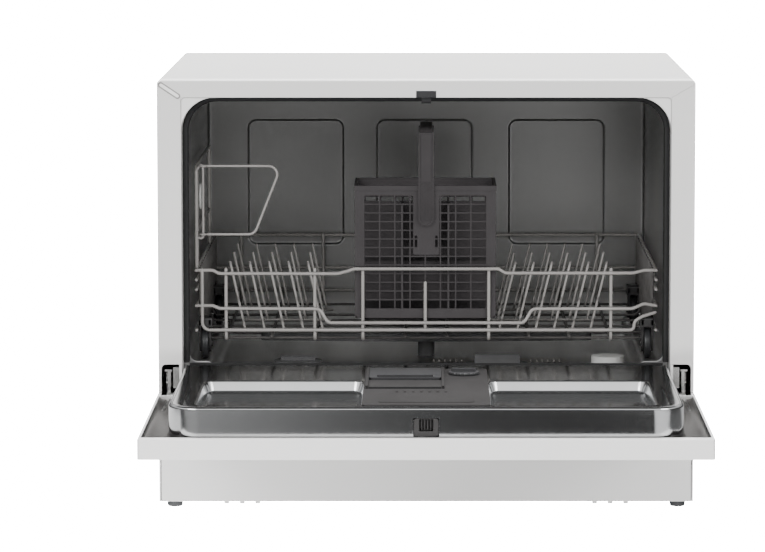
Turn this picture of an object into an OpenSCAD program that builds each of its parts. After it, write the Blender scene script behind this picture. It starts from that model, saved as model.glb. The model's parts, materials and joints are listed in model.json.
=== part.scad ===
// Countertop dishwasher for six place settings, door open and basket at home.
// X runs to the right, Y to the back, Z up; the feet stand on Z = 0.

/* [Casing] */
// Width of the casing
body_w = 550; // [546:1:560]
// Depth of the casing, front flange to rear panel
body_d = 482; // [474:1:500]
// Height from the floor to the top of the casing
body_h = 442; // [438:1:460]
// Corner radius of the casing's top edges
case_r = 5; // [3:0.5:8]
// Height of the feet
foot_h = 7; // [6:0.5:12]
// Diameter of a foot
foot_d = 16; // [12:1:20]
// Distance of a foot's axis from the casing side
foot_inset = 15.5; // [14:0.5:20]
// Thickness of the steel sheet
sheet = 1; // [0.8:0.1:1.2]
// Width of the front flange at the sides
flange_side = 24.5; // [24:0.5:27]
// Height of the front flange at the top
flange_top = 18.3; // [18:0.1:22]
// Corner radius of the mouth
mouth_r = 36; // [28:1:44]
// Height of the plinth panel's top edge
plinth_top = 116; // [113:0.5:116.5]
// Height of the base tray's rim
tray_h = 38; // [34:1:42]

/* [Door] */
// Height of the hinge axis
pivot_z = 117.5; // [117:0.5:120]
// Distance of the hinge axis in front of the casing
pivot_out = 2.8; // [2.8:0.1:4]
// Thickness of the door's outer shell
door_t = 19; // [18:0.5:22]
// Height of the rim plane above the hinge axis
rim_up = 2.5; // [2:0.1:2.5]
// Height of the inner panel above the rim plane
panel_up = 28; // [26:0.5:28]
// Clearance between the inner panel's side and the mouth
panel_gap = 3.8; // [3.5:0.1:10]
// Distance from the inner panel's end wall to the door's free edge
panel_margin = 20.3; // [20.3:0.1:26]
// Corner radius of the inner panel
panel_r = 30; // [20:1:34]
// Width of the white rim at the door's sides
rim_w = 3; // [2:0.5:6]
// Depth of the two embossed fields in the inner panel
field_depth = 11.5; // [6:0.5:14]
// Diameter of the hinge pins
pin_d = 6; // [5:0.5:7]
// Radial running clearance of the hinge pins, spray arm and wheels
run_gap = 0.05; // [0.02:0.01:0.1]

/* [Tub] */
// Width of the seal ring, from the mouth to the tub wall
seal_w = 6; // [5:0.5:6]
// Inside face of the tub's back wall, behind the casing front
tub_back = 418; // [418:1:425]
// Height of the tub floor
well_z = 130; // [128:0.5:131]
// Width of the side ledges that the basket's wheels run on
ledge_w = 22.5; // [21.5:0.5:26]
// Radius of the spray arm
spray_r = 178; // [140:1:182]

/* [Basket] */
// Clearance between the basket's outer wires and the tub's side wall
basket_gap = 6.5; // [5.5:0.5:8.5]
// Distance of the basket's front plane behind the casing front
basket_y = 46; // [46:0.5:48]
// Depth of the basket between its front and rear planes
basket_d = 366; // [350:1:367]
// Height of the floor wires
basket_z = 169; // [168:0.5:172]
// Height of the top wires
rim_z = 241.6; // [240:0.2:246]
// Diameter of the frame wires
wire_d = 3.5; // [3.5:0.1:4.4]
// Diameter of the tines and light wires
tine_d = 2.7; // [2.6:0.1:3.2]
// Gap left at each spot weld between crossing wires
touch = 0.1; // [0.05:0.05:0.2]
// Radius of the wheels
wheel_r = 16; // [14:0.5:16.5]
// Width of the wheels
wheel_w = 7; // [5:0.5:7]

/* [Hidden] */
$fn = 48;

// Overshoot of the cutting tools
cut = 1;
half_w = body_w / 2;
inlet_len = 15.3;
door_len = body_h - pivot_z;
pivot_y = -pivot_out;
door_end = pivot_y - door_len;
// Puts the middle of the whole depth, open door to inlet thread, on Y = 0
frame_y = -(door_end + body_d + inlet_len) / 2;

mouth_hw = half_w - flange_side;
mouth_top = body_h - flange_top;
// Radius of the inner panel's face about the hinge axis
swing_r = rim_up + panel_up;
rim_z0 = pivot_z + rim_up;
panel_z = pivot_z + swing_r;
shell_z = rim_z0 - door_t;
face_y = pivot_y + swing_r;
// Clearance between moving pieces and what they close against
close_gap = 0.3;
seal_y = face_y + close_gap;
seal_depth = 10;
lip_y = seal_y + seal_depth;
sill_y = seal_y + sheet;
ledge_z = panel_z;
tub_hw = mouth_hw - seal_w;
well_hw = tub_hw - ledge_w;
basket_hw = tub_hw - basket_gap;
panel_hw = mouth_hw - panel_gap;
tub_top = mouth_top - seal_w;
// Where the side walls meet the top, just under its round corners
wall_seam_z = mouth_top - mouth_r - 4;

slot_x0 = mouth_hw;
slot_x1 = half_w - 3.4;
slot_top = pivot_z + 31.8;
slot_bottom = pivot_z - 6.5;
bracket_x0 = mouth_hw + 2.5;
bracket_x1 = bracket_x0 + 3;
arm_x0 = bracket_x1 + 6;
arm_x1 = arm_x0 + 3;
arm_roll = 7;
arm_r = 27;
// The swinging quadrants stop this far from the hinge plane
quad_gap = 8;
tail_y = pivot_y + 19.8;
tail_z = pivot_z + 11;

keeper_hw = 12;
latch_hw = 10.3;
latch_up = 6.8;
tongue_hw = 4.8;
tongue_y0 = 7.2;
tongue_y1 = 14.8;
tongue_tip = mouth_top - 6.7;
tongue_top = tongue_tip + 9;

field_x0 = 64;
field_x1 = 219;
field_y0 = door_end + panel_margin + 17;
field_y1 = -116;
disp_hw = 61.5;
disp_y0 = door_end + panel_margin + 9;
disp_y1 = -40;
lid_y0 = -123;
lid_y1 = -50;
cap_x = 38;
cap_y = -80;

panel_band = 52;
band_hw = panel_hw - 17;
button_r = 7;
button_x = [-150, 110, 170];
button_travel = 1.5;

post_y = (sill_y + tub_back) / 2;
post_r = 9;
arm_z = well_z + 17;
sump_x = 75;
sump_y = 125;
sump_r = 52;
filter_r = 30;
salt_x = -135;
salt_y = 120;
neck_r = 22;
float_x = well_hw - 32;
float_y = 90;
float_r = 17;
inlet_x = half_w - 105;
inlet_z = 70;
inlet_r = 13.2;
// Rear face of the collars that hold the inlet and the spigot off the rear panel
collar_t = 2.6;
drain_x = half_w - 70;
drain_z = 62;
drain_r = 9.5;
gland_x = -half_w + 70;
gland_z = 62;
gland_r = 8;
air_gap_x = tub_hw + sheet + 1;
// Passage from the air break box into the tub
air_port_y = 250;
air_port_z = 300;
air_port_r = 14;
heater_x = -48;
heater_y0 = 260;
heater_y1 = 400;
heater_z = 62;
heater_r = 22;

basket_y1 = basket_y + basket_d;
wheel_x0 = basket_hw - 12;
wheel_y = [basket_y + 14, basket_y + basket_d - 60];
axle_z = panel_z + close_gap + wheel_r;
cutlery_y0 = basket_y + 6.6;
cutlery_x0 = -74;
cutlery_x1 = 72;
cutlery_d = 96;
cutlery_z0 = 191;
cutlery_z1 = 328.5;
divider_drop = 20;
// Plates in the middle of the long walls, and the strap handle that is clipped on them
plate_hw = 13.5;
plate_z0 = 257;
handle_hw = 8;
strap_d = 3.6;
strap_z0 = 287.4;
strap_z1 = 384;
bow_top = 388.8;
bow_t = 2.4;
bow_r = 13;
leg_z0 = strap_z1 - 40;
shelf_x = basket_hw - 7;
shelf_y = basket_y + 10;
frame_d = 267;
shelf_z0 = 280;
shelf_z1 = 349;

tray_z = foot_h + tray_h;
boss_z = 30;
stem_r = 4;
nub_x = 171;
nub_pitch = 16;
screw_r = 1.8;
rear_flange = 16;
field_emboss = 2.5;
keeper_z1 = rim_z0 + 18.4;
grip_hw = 70;
grip_d = 34;
grip_y0 = door_end + 7 + panel_band + 10;
lid_x0 = -57;
lid_x1 = 15;
board_z = shell_z + 8.5;
button_y = door_end + 7 + panel_band / 2;
mid_z = rim_z - 36.8;
low_z = basket_z + 10.3;
end_x = basket_hw - wire_d / 2 - 0.05;
front_x = [30.6 - basket_hw, -115.5, -65.7, 64.8, basket_hw - 46.6];
// Distance between the centres of two wires welded across each other
cross_gap = wire_d * cos(22.5) + touch;
upright_y0 = basket_y + cross_gap;
upright_y1 = basket_y1 - cross_gap;
floor_y0 = upright_y0 + wire_d / 2 + 0.05;
floor_y1 = upright_y1 - wire_d / 2 - 0.05;
floor_top = basket_z - wire_d / 2;
floor_x = [front_x[0], -161, front_x[1], front_x[2], -22, 22, front_x[3], 107, 149, front_x[4]];
cross_z = basket_z - cross_gap;
side_x = basket_hw - (wire_d + tine_d) / 2 * cos(22.5) - touch;
side_pitch = 25;
side_y = [for (y = [basket_y + 20 : side_pitch : basket_y1 - 20]) y];
// Raised wires that carry the cutlery basket
rest_x0 = -65.7;
rest_x1 = 64.8;
rest_z0 = basket_z + wire_d / 2 * cos(22.5) + touch;
rest_z1 = cutlery_z0 - wire_d / 2 * cos(22.5) - close_gap;
bracket_top = panel_z + 44;
axle_r = 2.5;
tine_y = [106, 196, 286];
tine_len = 72;
carrier_z = basket_z + (wire_d + tine_d) / 2 * cos(22.5) + touch;
rib = 2;

// ---- helpers ----

module place() {
    translate([0, frame_y, 0]) children();
}

// A level profile in X and Z, carried from y0 back to y1
module along_y(y0, y1) {
    translate([0, y1, 0]) rotate([90, 0, 0]) linear_extrude(y1 - y0) children();
}

// A profile in Y and Z, carried from x0 to x1
module along_x(x0, x1) {
    translate([x0, 0, 0]) rotate([90, 0, 90]) linear_extrude(x1 - x0) children();
}

module box(lo, hi) {
    translate(lo) cube(hi - lo);
}

// Both sides of what is drawn for the right-hand side
module both() {
    children();
    mirror([1, 0, 0]) children();
}

module round_rect(x0, y0, x1, y1, r) {
    translate([x0 + r, y0]) square([x1 - x0 - 2 * r, y1 - y0]);
    translate([x0, y0 + r]) square([x1 - x0, y1 - y0 - 2 * r]);
    for (x = [x0 + r, x1 - r], y = [y0 + r, y1 - r]) translate([x, y]) circle(r);
}

// An outline with two round top corners
module arch_shape(hw, bottom, top, r) {
    translate([-hw, bottom]) square([2 * hw, top - r - bottom]);
    translate([-(hw - r), bottom]) square([2 * (hw - r), top - bottom]);
    for (s = [-1, 1]) translate([s * (hw - r), top - r]) circle(r);
}

module case_outline(inset, bottom) {
    arch_shape(half_w - inset, bottom, body_h - inset, case_r - inset);
}

module mouth_outline(inset, bottom) {
    arch_shape(mouth_hw - inset, bottom, mouth_top - inset, mouth_r - inset);
}

module pivot_disc(r, x0, x1) {
    translate([x0, pivot_y, pivot_z]) rotate([0, 90, 0]) cylinder(r = r, h = x1 - x0);
}

module post(x, y, z0, z1, r) {
    translate([x, y, z0]) cylinder(r = r, h = z1 - z0);
}

module rod_x(x0, x1, y, z, r) {
    translate([x0, y, z]) rotate([0, 90, 0]) cylinder(r = r, h = x1 - x0);
}

module rod_y(x, y0, y1, z, r) {
    translate([x, y1, z]) rotate([90, 0, 0]) cylinder(r = r, h = y1 - y0);
}

// A straight wire of eight flats between two points
module bar(p, q, d = wire_d) {
    v = q - p;
    level = norm([v[0], v[1]]);
    translate(p)
        rotate([0, atan2(level, v[2]), atan2(v[1], v[0])])
            rotate([0, 0, 22.5]) cylinder(r = d / 2, h = norm(v), $fn = 8);
}

function unit(v) = v / norm(v);

// Direction of a bent wire at point i, halfway between its two runs
function way(p, i) = let (n = len(p) - 1)
    i == 0 ? unit(p[1] - p[0]) : i == n ? unit(p[n] - p[n - 1])
    : unit(unit(p[i] - p[i - 1]) + unit(p[i + 1] - p[i]));

// A bent wire of eight flats through points that lie in one upright plane y,
// each point given as X and Z, with mitred bends
module flat_wire(y, points, d = wire_d) {
    last = len(points) - 1;
    rings = [for (i = [0 : last])
        let (w = way(points, i), side = [-w[1], w[0]],
            run = unit(points[min(i + 1, last)] - points[min(i, last - 1)]),
            spread = 1 / (w * run))
        for (k = [0 : 7])
            let (a = 22.5 + k * 45, out = points[i] + side * spread * d / 2 * cos(a))
            [out[0], y + d / 2 * sin(a), out[1]]];
    walls = [for (i = [0 : last - 1], k = [0 : 7])
        [i * 8 + k, i * 8 + (k + 1) % 8, (i + 1) * 8 + (k + 1) % 8, (i + 1) * 8 + k]];
    start = [[for (k = [7 : -1 : 0]) k]];
    end = [[for (k = [0 : 7]) last * 8 + k]];
    polyhedron(rings, concat(walls, start, end));
}

// An upright coil spring about the Z axis; with hook over 0, its wire runs on
// up the axis to that height
module coil_spring(r, wire, turns, z0, z1, hook = 0) {
    steps = turns * 8;
    sides = 5;
    w = wire / 2;
    coil = [for (i = [0 : steps])
        let (a = i * 45) [[r * cos(a), r * sin(a), z0 + w + (z1 - z0 - wire) * i / steps],
            [cos(a), sin(a), 0], [0, 0, 1]]];
    tail = [[[r, 1, z1 + 1.5], [1, 0, 0], [0, -0.7, 0.7]], [[r / 2, 1, z1 + 4], [1, 0, 0], [0, -1, 0]],
        [[0, 0, z1 + 7], [1, 0, 0], [0, -1, 0]], [[0, 0, hook], [1, 0, 0], [0, -1, 0]]];
    path = hook > 0 ? concat(coil, tail) : coil;
    last = len(path) - 1;
    rings = [for (p = path, k = [0 : sides - 1])
        let (b = k * 360 / sides) p[0] + w * cos(b) * p[1] + w * sin(b) * p[2]];
    walls = [for (i = [0 : last - 1], k = [0 : sides - 1])
        [i * sides + k, i * sides + (k + 1) % sides,
            (i + 1) * sides + (k + 1) % sides, (i + 1) * sides + k]];
    start = [[for (k = [sides - 1 : -1 : 0]) k]];
    end = [[for (k = [0 : sides - 1]) last * sides + k]];
    polyhedron(rings, concat(walls, start, end));
}

// ---- casing ----

module hinge_slots(bottom) {
    for (s = [-1, 1]) {
        x0 = s > 0 ? slot_x0 - cut : -slot_x1;
        translate([x0, bottom]) square([slot_x1 - slot_x0 + cut, slot_top - bottom]);
    }
}

module outer_wrapper() {
    color("whitesmoke") place() {
        along_y(0, body_d) difference() {
            case_outline(0, foot_h);
            case_outline(sheet, foot_h - cut);
        }
        along_y(0, sheet) difference() {
            case_outline(sheet / 2, foot_h);
            translate([-mouth_hw, 0]) square([2 * mouth_hw, mouth_top]);
            translate([-latch_hw, mouth_top - cut]) square([2 * latch_hw, cut + latch_up]);
            hinge_slots(slot_bottom - cut);
            translate([-(half_w - sheet), 0]) square([2 * (half_w - sheet), plinth_top]);
        }
        difference() {
            along_y(body_d - 2 * sheet, body_d - sheet) difference() {
                case_outline(sheet / 2, tray_z);
                translate([-half_w + rear_flange, 0])
                    square([2 * (half_w - rear_flange), body_h - rear_flange]);
            }
            screw_spots() cylinder(r = screw_r, h = body_d + cut);
        }
    }
}

module front_frame() {
    color("gainsboro") place() difference() {
        union() {
            along_y(sheet, 2 * sheet) difference() {
                case_outline(sheet, plinth_top - 20);
                mouth_outline(0, 0);
                hinge_slots(0);
            }
            along_y(sheet, lip_y) difference() {
                mouth_outline(-sheet, pivot_z - swing_r - 1);
                mouth_outline(0, 0);
            }
        }
        box([-tongue_hw - 0.5, tongue_y0 - 0.5, mouth_top - cut],
            [tongue_hw + 0.5, tongue_y1 + 0.5, mouth_top + sheet + cut]);
        box([-latch_hw, 0, mouth_top - cut], [latch_hw, 3 * sheet, mouth_top + latch_up]);
    }
}

module rear_panel() {
    color("silver") place() difference() {
        along_y(body_d - sheet, body_d) case_outline(sheet, tray_z);
        rod_y(inlet_x, body_d - sheet - cut, body_d + cut, inlet_z, inlet_r + 0.3);
        rod_y(drain_x, body_d - sheet - cut, body_d + cut, drain_z, drain_r + 0.3);
        rod_y(gland_x, body_d - sheet - cut, body_d + cut, gland_z, gland_r + 0.3);
        screw_spots() cylinder(r = screw_r, h = body_d + cut);
        for (i = [0 : 9]) {
            box([-90 + i * 20, body_d - sheet - cut, 330], [-84 + i * 20, body_d + cut, 370]);
        }
    }
}

module foot_spots() {
    for (x = [-1, 1] * (half_w - foot_inset), y = [foot_inset, body_d - foot_inset])
        translate([x, y, 0]) children();
}

module base_tray() {
    wall = 2.5;
    color("dimgray") place() difference() {
        union() {
            difference() {
                box([-half_w + sheet, 2 * sheet, foot_h],
                    [half_w - sheet, body_d - sheet, tray_z]);
                box([-half_w + sheet + wall, 2 * sheet + wall, foot_h + wall],
                    [half_w - sheet - wall, body_d - sheet - wall, tray_z + cut]);
            }
            foot_spots() translate([0, 0, foot_h]) cylinder(r = 12, h = boss_z - foot_h);
            both() box([bracket_x0, 30, foot_h], [half_w - sheet, 62, tray_z]);
        }
        foot_spots() translate([0, 0, -cut]) cylinder(r = foot_d / 2 + 5, h = foot_h + cut);
        foot_spots() cylinder(r = stem_r, h = boss_z + cut);
    }
}

module plinth_panel() {
    plinth_hw = half_w - sheet - 1.5;
    color("whitesmoke") place() {
        along_y(0, sheet) difference() {
            translate([-plinth_hw, foot_h]) square([2 * plinth_hw, plinth_top - foot_h]);
            hinge_slots(slot_bottom);
        }
        box([-mouth_hw + 4, sheet / 2, plinth_top - sheet], [mouth_hw - 4, 4, plinth_top]);
        both() for (i = [0 : 2]) {
            box([nub_x + i * nub_pitch, 0, foot_h - 2.5], [nub_x + i * nub_pitch + 5, sheet, foot_h + cut]);
        }
    }
}

module levelling_feet() {
    color("dimgray") place() foot_spots() {
        cylinder(r1 = foot_d / 2 - 2, r2 = foot_d / 2, h = 1.5);
        translate([0, 0, 1.5]) cylinder(r = foot_d / 2, h = foot_h - 1.5);
        cylinder(r = stem_r, h = boss_z - 2);
    }
}

module tub_section(grow) {
    mouth_outline(seal_w - grow, ledge_z - grow);
    translate([-well_hw - grow, well_z - grow])
        square([2 * (well_hw + grow), ledge_z - well_z + grow + cut]);
}

module back_fields(grow = 0) {
    for (x = [-200, -56, 92])
        round_rect(x - grow, 230 - grow, x + 108 + grow, 371 + grow, 10 + grow);
}

module tub() {
    color("silver") place() difference() {
        union() {
            along_y(lip_y, tub_back + sheet) tub_section(sheet);
            along_y(lip_y, lip_y + sheet) mouth_outline(-sheet, ledge_z - sheet);
            along_y(sill_y, lip_y + sheet) difference() {
                tub_section(sheet);
                translate([-half_w, ledge_z]) square([body_w, body_h]);
            }
            along_y(tub_back, tub_back + sheet + field_emboss) back_fields(sheet);
        }
        along_y(lip_y - cut, tub_back) mouth_outline(seal_w, ledge_z);
        along_y(sill_y + sheet, tub_back) translate([-well_hw, well_z])
            square([2 * well_hw, ledge_z - well_z + cut]);
        along_y(tub_back - cut, tub_back + field_emboss) back_fields();
        post(0, post_y, well_z - 2 * sheet, well_z + cut, post_r + close_gap);
        post(sump_x, sump_y, well_z - 2 * sheet, well_z + cut, sump_r - 4);
        post(salt_x, salt_y, well_z - 2 * sheet, well_z + cut, neck_r + close_gap);
        post(float_x, float_y, well_z - 2 * sheet, well_z + cut, 4 + close_gap);
        rod_x(-tub_hw - 2 * sheet, -tub_hw + cut, air_port_y, air_port_z, air_port_r + close_gap);
        // Seams between the floor pan, the side walls, the top and the back
        box([-half_w, tub_back - close_gap, 0], [half_w, tub_back, body_h]);
        for (z = [ledge_z, wall_seam_z])
            box([-half_w, seal_y, z], [half_w, tub_back, z + close_gap]);
    }
}

module door_seal() {
    color("#2a2a2c") place() along_y(seal_y, lip_y) difference() {
        mouth_outline(0, ledge_z);
        mouth_outline(seal_w, ledge_z - cut);
    }
}

module bottom_seal() {
    color("#2a2a2c") place()
        box([-tub_hw, seal_y, ledge_z - 22], [tub_hw, sill_y, ledge_z - sheet]);
}

module latch_housing() {
    color("#303033") place() difference() {
        union() {
            box([-keeper_hw - 2, 2 * sheet, mouth_top + sheet], [keeper_hw + 2, 26, body_h - sheet]);
            box([-latch_hw + 0.1, 0, mouth_top + 0.2],
                [latch_hw - 0.1, 3 * sheet, mouth_top + latch_up - 0.1]);
        }
        box([-tongue_hw - close_gap, tongue_y0 - close_gap, mouth_top],
            [tongue_hw + close_gap, tongue_y1 + close_gap, body_h - 2.5 * sheet]);
    }
}

module latch_tongue() {
    slope = 3;
    color("#202022") place() difference() {
        box([-tongue_hw, tongue_y0, tongue_tip], [tongue_hw, tongue_y1, tongue_top]);
        translate([0, tongue_y0, tongue_tip]) rotate([45, 0, 0])
            cube([3 * tongue_hw, slope, slope], center = true);
    }
}

module latch_spring() {
    color("silver") place() translate([0, (tongue_y0 + tongue_y1) / 2, 0])
        coil_spring(2.6, 0.7, 4, tongue_top + close_gap / 2, body_h - 2.5 * sheet - 0.2);
}

module bracket_profile() {
    difference() {
        union() {
            translate([pivot_y, pivot_z]) circle(pin_d / 2 + 3);
            translate([pivot_y, pivot_z - 6]) square([5 - pivot_y, 12]);
            translate([3, tray_z]) square([57, panel_z - 2 - tray_z]);
        }
        translate([pivot_y, pivot_z]) circle(pin_d / 2 + run_gap);
        translate([12, tray_z + 14]) square([16, 26]);
        translate([38, tray_z + 14]) square([14, 60]);
    }
}

module hinge_brackets() {
    color("silver") place() both() {
        along_x(bracket_x0, bracket_x1) bracket_profile();
        box([bracket_x0 - 0.5, 3, pivot_z + 7], [bracket_x1 + 4, 5, panel_z - 2]);
        box([bracket_x0, 32, tray_z], [half_w - 6, 60, tray_z + 2.5]);
    }
}

module hinge_pins() {
    color("silver") place() both() {
        pivot_disc(pin_d / 2, bracket_x0 - 1.5, arm_x1 + 1);
        pivot_disc(pin_d / 2 + 1, bracket_x0 - 1.5, bracket_x0 - 0.3);
    }
}

module balance_springs() {
    color("silver") place() both() translate([arm_x1 + 1.9, tail_y, 0])
        coil_spring(3.6, 1.6, 9, boss_z + 0.2, 100, tail_z - 1.6);
}

module sump() {
    color("#8a8a8a") place() difference() {
        union() {
            post(sump_x, sump_y, 60, well_z - sheet, sump_r);
            post(sump_x, sump_y, well_z - sheet - 3, well_z - sheet, sump_r + 6);
            rod_y(sump_x, sump_y + sump_r - 5, sump_y + sump_r + 13, 76, 12);
            rod_x(sump_x - sump_r - 18, sump_x - sump_r + 5, sump_y, 76, 9);
            post(sump_x, sump_y, foot_h + 2.5, 61, 14);
        }
        post(sump_x, sump_y, 63, well_z + cut, sump_r - 3);
    }
}

module wash_pump() {
    y0 = sump_y + sump_r + 13;
    color("#4a4d52") place() {
        rod_y(sump_x, y0, y0 + 45, 76, 34);
        rod_y(sump_x, y0 + 45, y0 + 130, 76, 28);
        rod_x(14, sump_x - 30, post_y, 76, 9);
        box([sump_x - 22, y0 + 5, foot_h + 2.5], [sump_x + 22, y0 + 120, 52]);
    }
}

module drain_pump() {
    x1 = sump_x - sump_r - 18;
    color("#4a4d52") place() {
        rod_x(x1 - 22, x1, sump_y, 70, 24);
        rod_x(x1 - 66, x1 - 22, sump_y, 70, 18);
        box([x1 - 60, sump_y - 14, foot_h + 2.5], [x1 - 4, sump_y + 14, 58]);
    }
}

module heater() {
    color("silver") place() {
        rod_y(heater_x, heater_y0, heater_y1, heater_z, heater_r);
        for (y = [heater_y0 + 10, heater_y1 - 25])
            box([heater_x - 16, y, foot_h + 2.5], [heater_x + 16, y + 15, heater_z - 12]);
        for (z = [-8, 8]) rod_y(heater_x, heater_y1, heater_y1 + 10, heater_z + z, 3);
    }
}

module water_softener() {
    color("lightgray") place() difference() {
        union() {
            box([salt_x - 90, salt_y - 65, foot_h + 2.5], [salt_x + 45, salt_y + 75, 112]);
            post(salt_x, salt_y, 111, well_z + 2, neck_r);
        }
        post(salt_x, salt_y, 60, well_z + 3, neck_r - 4);
    }
}

module salt_cap() {
    z0 = well_z + 2 + close_gap;
    color("#3a3d42") place() {
        post(salt_x, salt_y, z0, z0 + 6, neck_r + 3);
        post(salt_x, salt_y, well_z - 10, z0 + 1, neck_r - 4 - run_gap);
        box([salt_x - 18, salt_y - 2.5, z0 + 5], [salt_x + 18, salt_y + 2.5, z0 + 10]);
    }
}

module flat_filter() {
    color("silver") place() difference() {
        box([sump_x - 76, sump_y - 66, well_z], [sump_x + 76, sump_y + 66, well_z + 1.5]);
        post(sump_x, sump_y, well_z - cut, well_z + 3, filter_r + close_gap);
        for (i = [0 : 5]) {
            x = sump_x - 68 + i * 6;
            box([x, sump_y - 50, well_z - cut], [x + 2, sump_y + 50, well_z + 3]);
            box([2 * sump_x - x - 2, sump_y - 50, well_z - cut], [2 * sump_x - x, sump_y + 50, well_z + 3]);
        }
    }
}

module filter_cylinder() {
    top = well_z + 1.5 + close_gap;
    color("#6d7176") place() {
        difference() {
            post(sump_x, sump_y, 68, top + 1, filter_r);
            post(sump_x, sump_y, 70, top - 2, filter_r - 2.5);
        }
        post(sump_x, sump_y, top, top + 2.5, filter_r + 3);
        box([sump_x - 24, sump_y - 3, top + 2], [sump_x + 24, sump_y + 3, top + 12]);
    }
}

module overflow_float() {
    color("lightgray") place() {
        post(float_x, float_y, well_z + close_gap, well_z + 17, float_r);
        post(float_x, float_y, well_z - 25, well_z + 2, 4);
    }
}

module inlet_valve() {
    color("#9a9a94") place() difference() {
        union() {
            rod_y(inlet_x, body_d - 8, body_d + inlet_len, inlet_z, inlet_r);
            rod_y(inlet_x, body_d - sheet - 6, body_d - sheet, inlet_z, inlet_r + 5);
            rod_y(inlet_x, body_d - 46, body_d - 6, inlet_z, inlet_r + 1);
            rod_y(inlet_x, body_d + close_gap, body_d + collar_t, inlet_z, inlet_r + 3);
            box([inlet_x - 15, body_d - 44, inlet_z], [inlet_x + 15, body_d - 16, inlet_z + 34]);
        }
        rod_y(inlet_x, body_d - 20, body_d + inlet_len + cut, inlet_z, 8);
    }
}

module drain_spigot() {
    color("#55585c") place() difference() {
        union() {
            rod_y(drain_x, body_d - 30, body_d + 14, drain_z, drain_r);
            rod_y(drain_x, body_d - sheet - 5, body_d - sheet, drain_z, drain_r + 5);
            rod_y(drain_x, body_d + close_gap, body_d + collar_t, drain_z, drain_r + 2.5);
        }
        rod_y(drain_x, body_d - 31, body_d + 15, drain_z, drain_r - 3);
    }
}

module cord_gland() {
    color("#303033") place() difference() {
        union() {
            rod_y(gland_x, body_d - 14, body_d + 9, gland_z, gland_r);
            rod_y(gland_x, body_d - sheet - 4, body_d - sheet, gland_z, gland_r + 4);
            rod_y(gland_x, body_d, body_d + 6, gland_z, gland_r + 3);
        }
        rod_y(gland_x, body_d - 15, body_d + 10, gland_z, 4);
    }
}

module air_break_box() {
    color("#dcdcd8") place() {
        box([-half_w + sheet, 70, 160], [-air_gap_x, air_port_y + 70, body_h - 47]);
        rod_x(-air_gap_x - cut, -tub_hw + 1.5, air_port_y, air_port_z, air_port_r);
    }
}

module spray_arm_post() {
    color("#3f4246") place() {
        box([-14, post_y - 14, 62], [14, post_y + 14, 92]);
        post(0, post_y, 91, well_z - sheet, 14);
        post(0, post_y, 110, arm_z - close_gap, post_r);
        post(0, post_y, 110, arm_z + 10, 6);
        post(0, post_y, arm_z + 8 + close_gap, arm_z + 11, post_r);
    }
}

module spray_arm() {
    tip = 9;
    color("#55585c") place() difference() {
        translate([0, post_y, arm_z]) linear_extrude(8) {
            polygon([[-spray_r + tip, -tip], [0, -20], [spray_r - tip, -tip],
                [spray_r - tip, tip], [0, 20], [-spray_r + tip, tip]]);
            for (s = [-1, 1]) translate([s * (spray_r - tip), 0]) circle(tip);
        }
        post(0, post_y, arm_z - cut, arm_z + 9, 6 + run_gap);
        for (s = [-1, 1], i = [1 : 5])
            post(s * i * spray_r / 6, post_y + s * 3, arm_z + 5, arm_z + 9, 1.5);
    }
}

module screw_spots() {
    for (s = [-1, 1], z = [90, 210, 330, body_h - 17])
        translate([s * (half_w - 9), 0, z]) rotate([-90, 0, 0]) children();
}

module case_screws() {
    color("silver") place() screw_spots() {
        translate([0, 0, body_d]) cylinder(r = 4, h = 2);
        translate([0, 0, body_d - 8]) cylinder(r = screw_r, h = 9);
    }
}

// ---- door, drawn open ----

module door_outer_panel() {
    band_y0 = door_end + 7;
    color("whitesmoke") place() difference() {
        translate([0, 0, shell_z]) linear_extrude(door_t) round_rect(-half_w, door_end, half_w, pivot_y, 2);
        box([-half_w + sheet, door_end + sheet, shell_z + sheet],
            [half_w - sheet, pivot_y - sheet, rim_z0 - sheet]);
        translate([0, 0, rim_z0 - 2 * sheet]) linear_extrude(2 * sheet + cut)
            round_rect(-half_w + rim_w, door_end + rim_w, half_w - rim_w, pivot_y - 8, 2);
        box([-panel_hw - 0.2, pivot_y - 20, rim_z0 - 2 * sheet - 0.2],
            [panel_hw + 0.2, pivot_y + cut, rim_z0 + cut]);
        both() box([slot_x0, pivot_y - 14, shell_z + 2 * sheet], [slot_x1, pivot_y + cut, rim_z0 + cut]);
        box([-band_hw - close_gap, band_y0, shell_z - cut],
            [band_hw + close_gap, band_y0 + panel_band, shell_z + 2 * sheet]);
        box([-grip_hw, grip_y0, shell_z - cut], [grip_hw, grip_y0 + grip_d, shell_z + 2 * sheet]);
    }
}

module panel_plan(inset) {
    y0 = door_end + panel_margin + inset;
    hw = panel_hw - inset;
    r = panel_r - inset;
    translate([-hw, y0 + r]) square([2 * hw, pivot_y - y0 - r]);
    translate([-hw + r, y0]) square([2 * (hw - r), r + cut]);
    for (s = [-1, 1]) translate([s * (hw - r), y0 + r]) circle(r);
}

module fields(grow, z0, z1) {
    both() translate([0, 0, z0]) linear_extrude(z1 - z0)
        round_rect(field_x0 - grow, field_y0 - grow, field_x1 + grow, field_y1 + grow, 6 + grow);
}

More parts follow.
